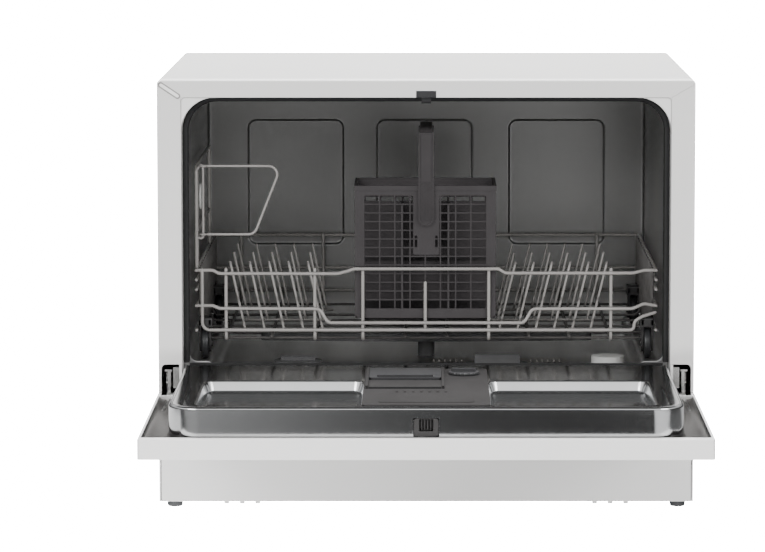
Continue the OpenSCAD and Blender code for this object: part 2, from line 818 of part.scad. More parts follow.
module door_inner_panel() {
    flange_z = rim_z0 - 2 * sheet;
    flange_hw = half_w - sheet - close_gap;
    flange_y0 = door_end + sheet + close_gap;
    apron_z = pivot_z + quad_gap;
    color("silver") place() difference() {
        union() {
            difference() {
                translate([0, 0, flange_z]) linear_extrude(panel_z - flange_z) panel_plan(0);
                difference() {
                    translate([0, 0, flange_z - cut]) linear_extrude(panel_z - sheet - flange_z + cut)
                        panel_plan(sheet);
                    fields(sheet, panel_z - field_depth - sheet, panel_z);
                }
                fields(0, panel_z - field_depth, panel_z + cut);
            }
            translate([0, 0, flange_z]) linear_extrude(sheet) difference() {
                translate([-flange_hw, flange_y0])
                    square([2 * flange_hw, pivot_y - 16 - flange_y0]);
                panel_plan(sheet);
            }
            difference() {
                pivot_disc(swing_r - touch, -panel_hw, panel_hw);
                pivot_disc(swing_r - touch - sheet, -panel_hw + sheet, panel_hw - sheet);
                box([-half_w, pivot_y - 50, 0], [half_w, pivot_y - 0.5, body_h]);
                box([-half_w, pivot_y - 50, 0], [half_w, 100, apron_z]);
            }
        }
        box([-keeper_hw - 0.6, door_end, rim_z0],
            [keeper_hw + 0.6, door_end + panel_margin + 2 * sheet, keeper_z1 + 0.1]);
        box([-disp_hw + 4, disp_y0 + 4, panel_z - 2 * sheet], [disp_hw - 4, disp_y1 - 4, panel_z + cut]);
    }
}

module arm_profile() {
    translate([pivot_y, pivot_z]) intersection() {
        circle(arm_r - 1);
        translate([0, quad_gap]) square(arm_r);
    }
    translate([pivot_y, pivot_z]) circle(pin_d / 2 + 2);
    translate([pivot_y - 5, pivot_z]) square([10, quad_gap + 2]);
    translate([pivot_y - 110, shell_z + sheet]) square([110 - 2, rim_z0 - shell_z - 3 * sheet - close_gap]);
}

module arm_roll_profile() {
    translate([pivot_y, pivot_z]) intersection() {
        difference() {
            circle(arm_r);
            circle(arm_r - 2);
        }
        translate([0, quad_gap]) square(arm_r + 1);
    }
}

module hinge_arms() {
    color("silver") place() both() {
        difference() {
            along_x(arm_x0, arm_x1) arm_profile();
            pivot_disc(pin_d / 2, arm_x0 - 3, arm_x1 + 3);
        }
        along_x(arm_x0 - 1, arm_x0 - 1 + arm_roll) arm_roll_profile();
        rod_x(arm_x1 - 1, arm_x1 + 3, tail_y, tail_z, 1.4);
        box([arm_x1 - 1, pivot_y - 108, shell_z + sheet], [arm_x1 + 6, pivot_y - 20, shell_z + sheet + 1.5]);
    }
}

module dispenser_body() {
    top = panel_z + 2;
    color("#4b4d50") place() difference() {
        union() {
            box([-disp_hw, disp_y0, panel_z], [disp_hw, disp_y1, top]);
            box([-disp_hw + 5, disp_y0 + 5, panel_z - 24], [disp_hw - 5, disp_y1 - 5, panel_z + 1]);
            for (x = [lid_x0 - 3, lid_x1 + close_gap])
                box([x, lid_y0 - 64, top - 0.5], [x + 2.7, lid_y1 + 2, top + 3]);
        }
        box([lid_x0 + 5, lid_y0 + 6, panel_z - 20], [lid_x1 - 5, lid_y1 - 6, top + cut]);
        post(cap_x, cap_y, panel_z - 12, top + cut, 9 + run_gap);
    }
}

module detergent_lid() {
    z0 = panel_z + 2 + close_gap;
    color("#55575b") place() {
        box([lid_x0, lid_y0, z0], [lid_x1, lid_y1, z0 + 2.2]);
        box([lid_x0 + 8, lid_y0 + 2, z0 + 2], [lid_x1 - 8, lid_y0 + 4, z0 + 4.5]);
    }
}

module rinse_aid_cap() {
    z0 = panel_z + 2 + close_gap;
    color("#5b5d61") place() {
        post(cap_x, cap_y, z0, z0 + 3, 16);
        post(cap_x, cap_y, panel_z - 8, z0 + 1, 9);
        box([cap_x - 13, cap_y - 2, z0 + 2], [cap_x + 13, cap_y + 2, z0 + 6]);
    }
}

module latch_keeper() {
    y0 = door_end + panel_margin;
    color("#3a3a3d") place() difference() {
        union() {
            box([-keeper_hw, y0 + 0.3, rim_z0 + 0.4], [keeper_hw, y0 + 11, keeper_z1 - 0.4]);
            box([-keeper_hw - 8, y0 + sheet, rim_z0 + 1], [keeper_hw + 8, y0 + 2 * sheet, keeper_z1 - 0.4]);
        }
        box([-tongue_hw - 2, y0 - cut, pivot_z + 8], [tongue_hw + 2, y0 + 9.5, pivot_z + 19.6]);
    }
}

module button_spots() {
    for (i = [0 : 2]) translate([button_x[i], button_y, 0]) children();
}

module control_panel() {
    band_y0 = door_end + 7;
    z0 = shell_z + sheet;
    color("#3c3e42") place() difference() {
        union() {
            box([-band_hw, band_y0 + 0.3, shell_z], [band_hw, band_y0 + panel_band - 0.3, z0 + cut]);
            box([-band_hw - 6.3, band_y0 - 4, z0], [band_hw + 6.3, band_y0 + panel_band + 3, z0 + 2]);
            for (x = [-190, -60, 60, 200]) post(x, button_y, z0, board_z, 4);
        }
        button_spots() translate([0, 0, shell_z - cut]) cylinder(r = button_r + 0.2, h = 6);
    }
}

module control_board() {
    color("darkgreen") place() {
        box([-215, button_y - 20, board_z], [215, button_y + 20, board_z + 1.6]);
        for (x = [-120, -20, 90])
            box([x, button_y - 12, board_z + 1.5], [x + 30, button_y + 10, board_z + 6]);
    }
}

module push_button(i) {
    color("gainsboro") place() translate([button_x[i], button_y, shell_z - 1.2])
        cylinder(r = button_r, h = 6);
}

module power_button() {
    push_button(0);
}

module programme_button() {
    push_button(1);
}

module start_button() {
    push_button(2);
}

module grip_cup() {
    z1 = shell_z + 15;
    color("#3c3e42") place() difference() {
        union() {
            box([-grip_hw + 0.2, grip_y0 + 0.2, shell_z], [grip_hw - 0.2, grip_y0 + grip_d - 0.2, z1]);
            box([-grip_hw - 4, grip_y0 - 4, shell_z + sheet],
                [grip_hw + 4, grip_y0 + grip_d + 4, shell_z + 3]);
        }
        box([-grip_hw + 2.2, grip_y0 + 2.2, shell_z - cut],
            [grip_hw - 2.2, grip_y0 + grip_d - 2.2, z1 - 2]);
    }
}

// ---- basket, drawn at home in the tub ----

module front_uprights(y, xs) {
    for (x = xs) bar([x, y, floor_top], [x, y, rim_z + 1]);
}

module basket_front_wires() {
    e = end_x;
    color("#bdb8b2") place() {
        flat_wire(basket_y, [[-e, rim_z], [15.5 - e, rim_z], [21.4 - e, rim_z - 3.4], [-90.9, rim_z - 3.6],
            [-74, rim_z + 1.4], [75, rim_z + 1.4], [81.8, rim_z - 3], [e - 22.7, rim_z - 3],
            [e - 10.2, rim_z], [e, rim_z]]);
        flat_wire(basket_y, [[-e, mid_z], [15.2 - e, mid_z], [22.2 - e, mid_z - 3], [-110.5, mid_z - 3.4],
            [-101.8, mid_z - 18], [101.4, mid_z - 18], [109.7, mid_z - 3.4], [e - 22.5, mid_z - 3.2],
            [e - 10.8, mid_z + 2], [e, mid_z]]);
        flat_wire(basket_y, [[4.2 - e, rim_z + 1], [4.2 - e, low_z], [e - 20.8, low_z], [e - 20.8, low_z + 9],
            [e - 12.7, low_z + 14], [e, mid_z - 7]]);
        front_uprights(upright_y0, front_x);
        bar([-1, upright_y0, low_z - 1], [-1, upright_y0, rim_z - 13]);
    }
}

module basket_rear_wires() {
    color("#bdb8b2") place() {
        for (z = [rim_z, mid_z, low_z]) bar([-end_x, basket_y1, z], [end_x, basket_y1, z]);
        front_uprights(upright_y1, front_x);
        bar([0, upright_y1, low_z - 1], [0, upright_y1, rim_z + 0.5]);
    }
}

function near_wheel(y) = min([for (w = wheel_y) abs(y - w)]) < 22;

module side_wires() {
    y0 = basket_y - wire_d / 2;
    y1 = basket_y1 + wire_d / 2;
    for (z = [rim_z, rim_z - 10, rim_z - 20, mid_z, low_z])
        bar([basket_hw, y0, z], [basket_hw, y1, z], z == rim_z || z == low_z ? wire_d : tine_d + 0.6);
    for (y = side_y)
        bar([side_x, y, near_wheel(y) ? bracket_top + 1.5 : cross_z - wire_d / 2],
            [side_x, y, rim_z + 0.5], tine_d);
}

module basket_right_wires() {
    color("#bdb8b2") place() side_wires();
}

module basket_left_wires() {
    color("#bdb8b2") place() mirror([1, 0, 0]) side_wires();
}

module basket_floor_wires() {
    x1 = side_x - tine_d / 2 - 0.1;
    color("#bdb8b2") place() {
        for (x = floor_x) bar([x, floor_y0, basket_z], [x, floor_y1, basket_z]);
        for (y = side_y) if (!near_wheel(y)) bar([-x1, y, cross_z], [x1, y, cross_z]);
        for (y = [cutlery_y0 + 18, cutlery_y0 + cutlery_d - 18])
            flat_wire(y, [[rest_x0, rest_z0], [rest_x0, rest_z1], [rest_x1, rest_z1], [rest_x1, rest_z0]]);
    }
}

module left_side_frame() {
    x = -basket_hw;
    y1 = shelf_y + frame_d;
    color("#bdb8b2") place() {
        for (z = [shelf_z0, shelf_z1]) {
            bar([x, shelf_y - 2, z], [x, y1 + 2, z]);
            bar([x - 1, shelf_y, z - 5], [-shelf_x, shelf_y, z - 5], tine_d);
        }
        for (y = [0, 12, frame_d - 12, frame_d])
            bar([x, shelf_y + y, rim_z + wire_d / 2], [x, shelf_y + y, shelf_z1]);
        translate([-shelf_x, shelf_y, shelf_z0 - 7]) cylinder(d = tine_d, h = shelf_z1 - shelf_z0 + 12);
    }
}

module tine_row(xs, y, lean) {
    top = carrier_z + tine_d / 2;
    bar([xs[0] - 6, y, carrier_z], [xs[len(xs) - 1] + 6, y, carrier_z], tine_d);
    for (x = xs) {
        z = top + close_gap;
        bar([x, y, z], [x + tine_len * sin(lean), y, z + tine_len * cos(lean)], tine_d);
    }
}

module left_tines() {
    color("#bdb8b2") place() for (y = tine_y) tine_row([for (i = [0 : 4]) -190 + i * 20.4], y, -12.6);
}

module right_tines() {
    color("#bdb8b2") place() for (y = tine_y) tine_row([for (i = [0 : 5]) 76.3 + i * 19.2], y, 14);
}

module wheel_spots() {
    for (y = wheel_y) both() translate([wheel_x0, y, axle_z]) children();
}

module wheel_brackets() {
    cheek = 2.2;
    // The hood over each wheel reaches this far inwards
    hood_w = 4;
    high = bracket_top - axle_z;
    color("#4a4a4d") place() wheel_spots() {
        for (x = [-cheek - 0.4, wheel_w + 0.4]) {
            box([x, -9, -9], [x + cheek, 9, high]);
            box([x, -11.5, wheel_r + 1], [x + cheek, 11.5, high]);
        }
        box([-hood_w, -11.5, wheel_r + 1], [wheel_w + cheek + 0.4, 11.5, high]);
        rod_x(-cheek, wheel_w + cheek, 0, 0, axle_r);
    }
}

module wheel(side, y) {
    color("#232326") place() translate([side > 0 ? wheel_x0 : -wheel_x0 - wheel_w, y, axle_z])
        rotate([0, 90, 0]) difference() {
            cylinder(r = wheel_r, h = wheel_w);
            translate([0, 0, -cut]) cylinder(r = axle_r + run_gap, h = wheel_w + 2 * cut);
            for (z = [-cut, wheel_w - 1]) translate([0, 0, z]) difference() {
                cylinder(r = wheel_r - 3, h = 1 + cut);
                cylinder(r = axle_r + 2, h = 1 + cut);
            }
        }
}

module wheel_front_left() {
    wheel(-1, wheel_y[0]);
}

module wheel_front_right() {
    wheel(1, wheel_y[0]);
}

module wheel_rear_left() {
    wheel(-1, wheel_y[1]);
}

module wheel_rear_right() {
    wheel(1, wheel_y[1]);
}

module cup_shelf() {
    color("#bdb8b2") place() {
        for (z = [shelf_z0 - 2, shelf_z1]) translate([-shelf_x, shelf_y, z - 1.5]) difference() {
            cylinder(d = tine_d + 4, h = 3);
            translate([0, 0, -cut]) cylinder(d = tine_d + 2 * run_gap, h = 3 + 2 * cut);
        }
        flat_wire(shelf_y, [[-shelf_x + 3.6, shelf_z1], [-150, shelf_z1],
            [-178, shelf_z0 - 2], [-shelf_x + 3.6, shelf_z0 - 2]], tine_d);
    }
}

module grille_x(x0, x1, y, z0, z1) {
    columns = 4;
    rows = 6;
    pitch = (x1 - x0 + rib) / columns;
    rise = (z1 - z0 + rib) / rows;
    for (i = [1 : columns - 1]) box([x0 - rib + i * pitch, y, z0], [x0 + i * pitch, y + rib, z1]);
    for (i = [1 : rows - 1]) box([x0, y, z0 - rib + i * rise], [x1, y + rib, z0 + i * rise]);
}

module cutlery_basket() {
    wall = 2;
    z0 = cutlery_z0;
    z1 = cutlery_z1;
    y1 = cutlery_y0 + cutlery_d;
    border = 10;
    color("#484446") place() {
        difference() {
            box([cutlery_x0, cutlery_y0, z0], [cutlery_x1, y1, z1]);
            box([cutlery_x0 + wall, cutlery_y0 + wall, z0 + wall], [cutlery_x1 - wall, y1 - wall, z1 + cut]);
            difference() {
                box([cutlery_x0 + border, cutlery_y0 - cut, z0 + border],
                    [cutlery_x1 - border, y1 + cut, z1 - border]);
                box([-plate_hw, cutlery_y0 - 2 * cut, plate_z0], [plate_hw, y1 + 2 * cut, z1]);
            }
            box([cutlery_x0 - cut, cutlery_y0 + border, z0 + border],
                [cutlery_x1 + cut, y1 - border, z1 - border]);
        }
        for (y = [cutlery_y0, y1 - rib])
            grille_x(cutlery_x0 + border, cutlery_x1 - border, y, z0 + border, z1 - border);
        for (x = [cutlery_x0, cutlery_x1 - rib]) for (i = [1 : 4])
            box([x, cutlery_y0 + border - 0.5, z0 + border + i * 24],
                [x + rib, y1 - border + 0.5, z0 + border + i * 24 + rib]);
        for (x = [-26, 22])
            box([x, cutlery_y0 + wall - 0.5, z0 + 1], [x + wall, y1 - wall + 0.5, z1 - divider_drop]);
        box([cutlery_x0 + wall - 0.5, (cutlery_y0 + y1) / 2 - 1, z0 + 1],
            [cutlery_x1 - wall + 0.5, (cutlery_y0 + y1) / 2 + 1, z1 - divider_drop]);
    }
}

// The strap's outline, with its round foot
module strap_shape(hw, z1) {
    translate([0, strap_z0 + handle_hw]) circle(hw);
    translate([-hw, strap_z0 + handle_hw]) square([2 * hw, z1 - strap_z0 - handle_hw]);
}

module cutlery_handle() {
    y0 = cutlery_y0 - close_gap - strap_d;
    y1 = cutlery_y0 + cutlery_d + close_gap + strap_d;
    color("#484446") place() {
        // Each leg is a channel, open to the outside
        for (y = [[y0, y0 - cut], [y1 - strap_d, y1 - strap_d / 2]]) difference() {
            along_y(y[0], y[0] + strap_d) strap_shape(handle_hw, strap_z1);
            along_y(y[1], y[1] + strap_d / 2 + cut) strap_shape(handle_hw - 1.5, strap_z1 - 1.5);
        }
        along_x(-handle_hw + 1.8, handle_hw - 1.8) difference() {
            round_rect(y0 + 1, leg_z0, y1 - 1, bow_top, bow_r);
            round_rect(y0 + 1 + bow_t, leg_z0 - cut, y1 - 1 - bow_t, bow_top - bow_t, bow_r - bow_t);
            translate([y0, leg_z0 - cut]) square([y1 - y0, strap_z1 - 2 + cut - leg_z0]);
        }
    }
}

outer_wrapper();
front_frame();
rear_panel();
base_tray();
plinth_panel();
levelling_feet();
tub();
door_seal();
bottom_seal();
latch_housing();
latch_tongue();
latch_spring();
hinge_brackets();
hinge_pins();
balance_springs();
sump();
wash_pump();
drain_pump();
heater();
water_softener();
salt_cap();
flat_filter();
filter_cylinder();
overflow_float();
inlet_valve();
drain_spigot();
cord_gland();
air_break_box();
spray_arm_post();
spray_arm();
case_screws();
door_outer_panel();
door_inner_panel();
hinge_arms();
dispenser_body();
detergent_lid();
rinse_aid_cap();
latch_keeper();
control_panel();
control_board();
power_button();
programme_button();
start_button();
grip_cup();
basket_front_wires();
basket_rear_wires();
basket_left_wires();
basket_right_wires();
basket_floor_wires();
left_side_frame();
left_tines();
right_tines();
wheel_brackets();
wheel_front_left();
wheel_front_right();
wheel_rear_left();
wheel_rear_right();
cup_shelf();
cutlery_basket();
cutlery_handle();
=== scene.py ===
import json
import math
import bpy
import numpy as np
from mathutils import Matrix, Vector
from mathutils.geometry import tessellate_polygon


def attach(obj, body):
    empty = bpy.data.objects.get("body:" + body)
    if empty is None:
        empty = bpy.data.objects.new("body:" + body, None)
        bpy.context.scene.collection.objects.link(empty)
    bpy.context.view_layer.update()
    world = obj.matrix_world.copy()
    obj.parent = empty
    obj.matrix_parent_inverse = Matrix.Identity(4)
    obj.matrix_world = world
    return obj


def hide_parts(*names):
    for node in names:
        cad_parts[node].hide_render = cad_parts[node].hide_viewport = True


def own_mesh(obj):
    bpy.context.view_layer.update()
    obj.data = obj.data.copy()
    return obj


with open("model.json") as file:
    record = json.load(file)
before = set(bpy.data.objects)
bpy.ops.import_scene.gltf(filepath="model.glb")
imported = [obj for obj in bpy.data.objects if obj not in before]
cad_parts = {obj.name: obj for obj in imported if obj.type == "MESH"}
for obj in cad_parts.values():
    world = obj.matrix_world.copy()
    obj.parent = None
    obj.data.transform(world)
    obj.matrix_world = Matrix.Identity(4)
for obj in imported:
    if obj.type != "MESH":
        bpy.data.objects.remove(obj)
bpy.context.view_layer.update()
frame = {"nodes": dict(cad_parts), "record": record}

# ---- Case ----
# The outer casing is one folded sheet of white stoved enamel over steel: two sides and a
# top, turned in at the front. Its front flange is three strips that meet in mitres at the
# top corners.

front = -0.085                    # the plane of the case front
sheet = 0.001
case_hw, case_top, case_low = 0.275, 0.442, 0.007
mouth_hw, mouth_top = 0.2505, 0.4237


def feed(tree, node, inputs):
    """Sets inputs of a node, to values or to what other nodes give. A node that is named by
    its kind is made first."""
    if isinstance(node, str):
        node = tree.nodes.new("ShaderNode" + node)
    for name, value in inputs.items():
        if isinstance(value, bpy.types.NodeSocket):
            tree.links.new(value, node.inputs[name])
        else:
            node.inputs[name].default_value = value
    return node


def finish(slot, tone, rough, metal=0.0, mottle=0.05, size=40, rough_swing=0.08, bump=0.05,
           bump_size=900, coat=0.0, specular=0.5):
    """A finish for one material slot: the tone drifts between a darker and a lighter value on
    soft noise, and a second, fine noise moves the roughness and gives the bump."""
    made = bpy.data.materials.new(slot + "_finish")
    made.use_nodes = True
    tree = made.node_tree
    place = tree.nodes.new("ShaderNodeTexCoord").outputs["Object"]
    cloud = feed(tree, "TexNoise", {"Vector": place, "Scale": size, "Detail": 4})
    shades = feed(tree, "ValToRGB", {"Fac": cloud.outputs["Fac"]})
    for mark, spot, share in zip(shades.color_ramp.elements, (0.3, 0.7), (1 - mottle, 1 + mottle)):
        mark.position = spot
        mark.color = [min(1, c * share) for c in tone] + [1]
    fine = feed(tree, "TexNoise", {"Vector": place, "Scale": bump_size, "Detail": 3})
    grade = feed(tree, "MapRange", {"Value": fine.outputs["Fac"],
                                    "To Min": max(0.02, rough - rough_swing),
                                    "To Max": rough + rough_swing})
    shader = feed(tree, tree.nodes["Principled BSDF"],
                  {"Base Color": shades.outputs["Color"], "Roughness": grade.outputs["Result"],
                   "Metallic": metal, "Specular IOR Level": specular, "Coat Weight": coat,
                   "Coat Roughness": 0.12})
    if bump:
        dent = feed(tree, "Bump", {"Strength": bump, "Distance": 0.0005,
                                   "Height": fine.outputs["Fac"]})
        feed(tree, shader, {"Normal": dent.outputs["Normal"]})
    return made


def piece(name, shape, look, slot, body, nodes=(), edge=0.0, crease=35, steps=2, weld=False,
          thick=0.0, even=False):
    """Makes one mesh from points and faces, gives it its finish and its body, and hides the
    nodes that it stands for. slot is not used. weld merges points that meet, edge rounds the
    sharp edges by that radius, thick gives a bare sheet its thickness, and even keeps flat
    faces flat beside round bends."""
    points, faces = shape
    mesh = bpy.data.meshes.new(name)
    mesh.from_pydata(np.asarray(points, float).reshape(-1, 3).tolist(), [],
                     [list(map(int, face)) for face in faces])
    mesh.validate()
    mesh.polygons.foreach_set("use_smooth", np.ones(len(mesh.polygons), bool))
    mesh.set_sharp_from_angle(angle=math.radians(crease))
    mesh.materials.append(look)
    made = bpy.data.objects.new(name, mesh)
    bpy.context.scene.collection.objects.link(made)

    def modify(kind, **settings):
        step = made.modifiers.new(kind.lower(), kind)
        for key, value in settings.items():
            setattr(step, key, value)
    if weld:
        modify("WELD", merge_threshold=0.00001)
    if edge:
        modify("BEVEL", width=edge, segments=steps, limit_method="ANGLE",
               angle_limit=math.radians(crease), harden_normals=True)
    if thick:
        modify("SOLIDIFY", thickness=thick, offset=-1)
    if even:
        modify("WEIGHTED_NORMAL", keep_sharp=True, weight=80)
    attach(made, body)
    if nodes:
        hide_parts(*nodes)
    return made


def wear(node, look):
    """Gives a CAD node its finish."""
    kept = frame["nodes"][node]
    if not kept.material_slots:
        kept.data.materials.append(look)
    for held in kept.material_slots:
        held.link = "OBJECT"
        held.material = look


def unit(ways):
    """Ways of length one."""
    return ways / np.linalg.norm(ways, axis=-1, keepdims=True)


def rounded(corners, radii, steps=8):
    """A closed outline whose corners are arcs: each corner of the polygon gives way to
    steps + 1 points on a circle that touches both of its sides."""
    corners = np.asarray(corners, float)
    radii = np.broadcast_to(np.asarray(radii, float), (len(corners),))
    before = unit(np.roll(corners, 1, 0) - corners)
    after = unit(np.roll(corners, -1, 0) - corners)
    half = np.arccos(np.clip((before * after).sum(1), -1, 1)) / 2
    centre = corners + unit(before + after) * (radii / np.sin(half))[:, None]
    run = (radii / np.tan(half))[:, None]
    start, end = corners + before * run - centre, corners + after * run - centre
    share = np.linspace(0, 1, steps + 1)[None, :, None]
    sweep = (math.pi - 2 * half)[:, None, None]
    safe = np.where(np.sin(sweep) < 1e-9, 1, np.sin(sweep))
    arc = (np.sin((1 - share) * sweep) * start[:, None]
           + np.sin(share * sweep) * end[:, None]) / safe
    return (centre[:, None] + arc).reshape(-1, 2)


def box_line(x0, y0, x1, y1):
    """The four corners of a box, left round."""
    return np.array([(x0, y0), (x1, y0), (x1, y1), (x0, y1)], float)


def circle(x, y, r, steps):
    """Points round a circle."""
    angle = np.arange(steps) * 2 * math.pi / steps
    return np.stack([x + r * np.cos(angle), y + r * np.sin(angle)], 1)


def lift(loop, level, axis=1):
    """A flat outline set at a level of one axis, which is y if no other is given."""
    return np.insert(loop, axis, level, axis=1)


def stack(rings, closed=True, caps=(False, False), flip=False, ends=False):
    """Points and faces of a surface through rings of equal length: quads between each ring
    and the next, a flat face over the first and last where caps asks for one, and over the
    two ends of open rings where ends does."""
    rings = np.asarray(rings, float)
    count, around = rings.shape[:2]
    i, k = np.meshgrid(np.arange(count - 1), np.arange(around if closed else around - 1),
                       indexing="ij")
    j = (k + 1) % around
    quads = np.stack([i * around + k, i * around + j, (i + 1) * around + j,
                      (i + 1) * around + k], -1).reshape(-1, 4)
    faces = quads[:, ::-1].tolist() if flip else quads.tolist()
    whole, rows = np.arange(around), np.arange(count - 1) * around
    for wanted, loop in ((caps[0], whole[::-1]), (caps[1], (count - 1) * around + whole),
                         (ends, rows[::-1]), (ends, rows + around - 1)):
        if wanted:
            faces.append((loop[::-1] if flip else loop).tolist())
    return rings.reshape(-1, 3), faces


def join(*parts):
    """Several sets of points and faces as one."""
    points, faces, base = [], [], 0
    for some, those in parts:
        points.append(np.asarray(some, float).reshape(-1, 3))
        faces += [[base + v for v in face] for face in those]
        base += len(points[-1])
    return np.concatenate(points), faces


def turned(loop, left=True):
    """An outline that runs left round, or right round."""
    x, y = np.asarray(loop, float).T
    spin = (x * np.roll(y, -1) - y * np.roll(x, -1)).sum() > 0
    return np.stack([x, y], 1)[::1 if spin == left else -1]


def face_over(loops, up=True):
    """The points of flat outlines, and triangles that fill the first and leave the others
    open, all seen from above or all from below."""
    flat = np.concatenate(loops)
    tris = tessellate_polygon([[Vector((x, y, 0)) for x, y in loop] for loop in loops])
    tris = np.array(tris).reshape(-1, 3)
    (ax, ay), (bx, by), (cx, cy) = (flat[tris[:, n]].T for n in range(3))
    spin = (bx - ax) * (cy - ay) - (by - ay) * (cx - ax)
    wrong = spin < 0 if up else spin > 0
    tris[wrong] = tris[wrong][:, ::-1]
    return flat, tris


def plate(loops, low, high, along="y"):
    """A flat plate between two levels of one axis: the first outline is its edge and the
    others are holes through it."""
    loops = [turned(loop, n == 0) for n, loop in enumerate(loops)]
    flat, tris = face_over(loops)
    count = len(flat)
    faces, base = (tris + count).tolist() + tris[:, ::-1].tolist(), 0
    for loop in loops:
        k = np.arange(len(loop))
        j = (k + 1) % len(loop)
        faces += (base + np.stack([k, j, j + count, k + count], -1)).tolist()
        base += len(loop)
    points = np.concatenate([np.insert(flat, "xyz".index(along), level, axis=1)
                             for level in (low, high)])
    return points, [face[::-1] for face in faces] if along == "y" else faces


enamel = finish("white_enamel", (0.74, 0.735, 0.725), 0.32, mottle=0.012, size=9,
                rough_swing=0.04, bump=0.035, bump_size=700, coat=0.25)
skin_profile = [(0.0016, 0.0), (0.0007, 0.0003), (0.0002, 0.0009), (0.0, 0.0018),
                (0.0, 0.03), (0.0, 0.46), (0.0, 0.4812), (0.0003, 0.482), (0.001, 0.482),
                (0.001, 0.47), (0.001, 0.0018), (0.0016, 0.001), (0.0016, 0.0)]
skin, bend = [], 0.005
for inset, depth in skin_profile:
    w, t = case_hw - inset, case_top - inset
    outline = rounded([(-w, case_low), (-w, t), (w, t), (w, case_low)],
                      [1e-6, bend - inset, bend - inset, 1e-6])
    skin.append(lift(outline, front + depth))
piece("case_skin", stack(skin, closed=False, ends=True), enamel, "white_enamel", "case",
      ["outer_wrapper"], edge=0.00015, crease=30)

# The flange strips wear a darker copy of the case enamel: painted shade on the front flange.
flange_shaded_enamel = finish("flange_shaded_enamel", (0.585, 0.58, 0.57), 0.36, mottle=0.012, size=9,
                       rough_swing=0.04, bump=0.035, bump_size=700, coat=0.2)
in_w, in_top, mitre, drop = case_hw - 0.0016, case_top - 0.0016, 0.0002, 0.0035
catch_hw, catch_top = 0.0103, 0.4305
top_strip = [(-mouth_hw + mitre, mouth_top), (-catch_hw, mouth_top), (-catch_hw, catch_top),
             (catch_hw, catch_top), (catch_hw, mouth_top), (mouth_hw - mitre, mouth_top),
             (in_w, in_top - drop + mitre), (in_w - 0.0012, in_top - 0.001),
             (in_w - drop, in_top), (-in_w + drop, in_top),
             (-in_w + 0.0012, in_top - 0.001), (-in_w, in_top - drop + mitre)]
stile = np.array([(in_w, 0.116), (0.2717, 0.116), (0.2717, 0.1458), (0.2703, 0.1483),
                  (0.268, 0.1493), (mouth_hw, 0.1493), (mouth_hw, mouth_top - mitre),
                  (in_w, in_top - drop - mitre)])
piece("front_flange", join(*(plate([strip], front, front + sheet)
                             for strip in (stile * (-1, 1), stile, top_strip))),
      flange_shaded_enamel, "white_enamel", "case", edge=0.00015, crease=30)

# A low bead covers the welded mitre at the left. A thin dark line round it, and where the
# flange ends over the front frame at both top corners, is painted shadow along these seams.
bead_from, bead_to = np.array((-0.2722, 0.4376)), np.array((-0.2519, 0.4240))
bead_way = unit(bead_to - bead_from)
bead_side = np.array((-bead_way[1], bead_way[0]))
bead_hw, bead_high = 0.0025, 0.0004
angle = np.arange(16) * math.pi / 8
bead = []
for reach in np.linspace(0, math.pi, 17):
    swell = 0.08 + 0.92 * min(1, 1.9 * math.sin(reach)) ** 0.5
    centre = bead_from + (bead_to - bead_from) * (1 - math.cos(reach)) / 2
    bead.append(lift(centre + np.outer(np.cos(angle), bead_side) * bead_hw * swell,
                     front + 0.0002 - bead_high * swell * np.sin(angle)))
piece("mitre_bead", stack(bead, caps=(True, True)), enamel, "white_enamel", "case", crease=60)

# Painted shadow: the seam lines are a dark strip laid along each seam.
seam_shadow_look = finish("painted_seam_shadow", (0.20, 0.195, 0.19), 0.6, mottle=0.1, size=80, bump=0.02,
                   bump_size=800)
seam_w, seam_r, seam_x, seam_low = 0.0004, 0.0045, 0.2145, 0.386
side, way = bead_side * 0.0029, bead_way * 0.0008
lines = [rounded([bead_from - way - side, bead_to + way - side, bead_to + way + side,
                  bead_from - way + side], 0.0026, 6)]
for s in (-1, 1):
    line = np.array([(seam_x, mouth_top), (mouth_hw, mouth_top), (mouth_hw, seam_low),
                     (mouth_hw - seam_w, seam_low), (mouth_hw - seam_w, mouth_top - seam_w),
                     (seam_x, mouth_top - seam_w)])
    lines.append(rounded(line * (s, 1), [1e-5, seam_r, 1e-5, 1e-5, seam_r - seam_w, 1e-5], 5))
piece("corner_seam_shadows", join(*(plate([line], front - 0.0001, front + 0.0009) for line in lines)),
      seam_shadow_look, "white_enamel", "case", crease=40)

# ---- Front frame, plinth, rear panel and feet ----
# A second sheet behind the flange carries the round-cornered mouth and turns back as a
# short tunnel for the gasket. The plinth is a plain enamelled strip under the door, and
# the machine stands on four moulded feet with threaded stems.

frame_tone = finish("frame_steel", (0.66, 0.655, 0.645), 0.36, mottle=0.015, size=12,
                    rough_swing=0.04, bump=0.03, bump_size=600, coat=0.2)
sill = 0.148


def mouth(inset, low=sill, steps=16):
    """The mouth outline moved inwards by inset: up the left side, over two round corners
    and down the right side."""
    w, t, r = mouth_hw - inset, mouth_top - inset, 0.036 - inset
    return rounded([(-w, low), (-w, t), (w, t), (w, low)], [1e-6, r, r, 1e-6], steps)


tunnel_low = 0.087
tunnel = [lift(mouth(inset, tunnel_low), front + depth) for inset, depth in
          [(-0.003, 0.001), (-0.0012, 0.001), (-0.0006, 0.0012), (-0.0002, 0.0016),
           (0.0, 0.0024), (0.0, 0.02), (0.0, 0.038), (-0.001, 0.038), (-0.001, 0.003),
           (-0.003, 0.003)]]
frame_hw, frame_top, frame_low, slot_hw, slot_top = 0.2734, 0.4404, 0.097, 0.2719, 0.1493
foot_line = [(frame_hw, frame_low), (slot_hw, frame_low), (slot_hw, slot_top),
             (mouth_hw + 0.003, slot_top)]
frame_plate = ([(-frame_hw, frame_top), (frame_hw, frame_top)] + foot_line
               + [tuple(p) for p in mouth(-0.003, tunnel_low)[::-1] if p[1] > 0.16]
               + [(-x, z) for x, z in foot_line[::-1]])
piece("mouth_frame", join(stack(tunnel, closed=False, flip=True),
                          plate([frame_plate], front + sheet, front + 2 * sheet)),
      frame_tone, "frame_steel", "case", ["front_frame"], crease=30)

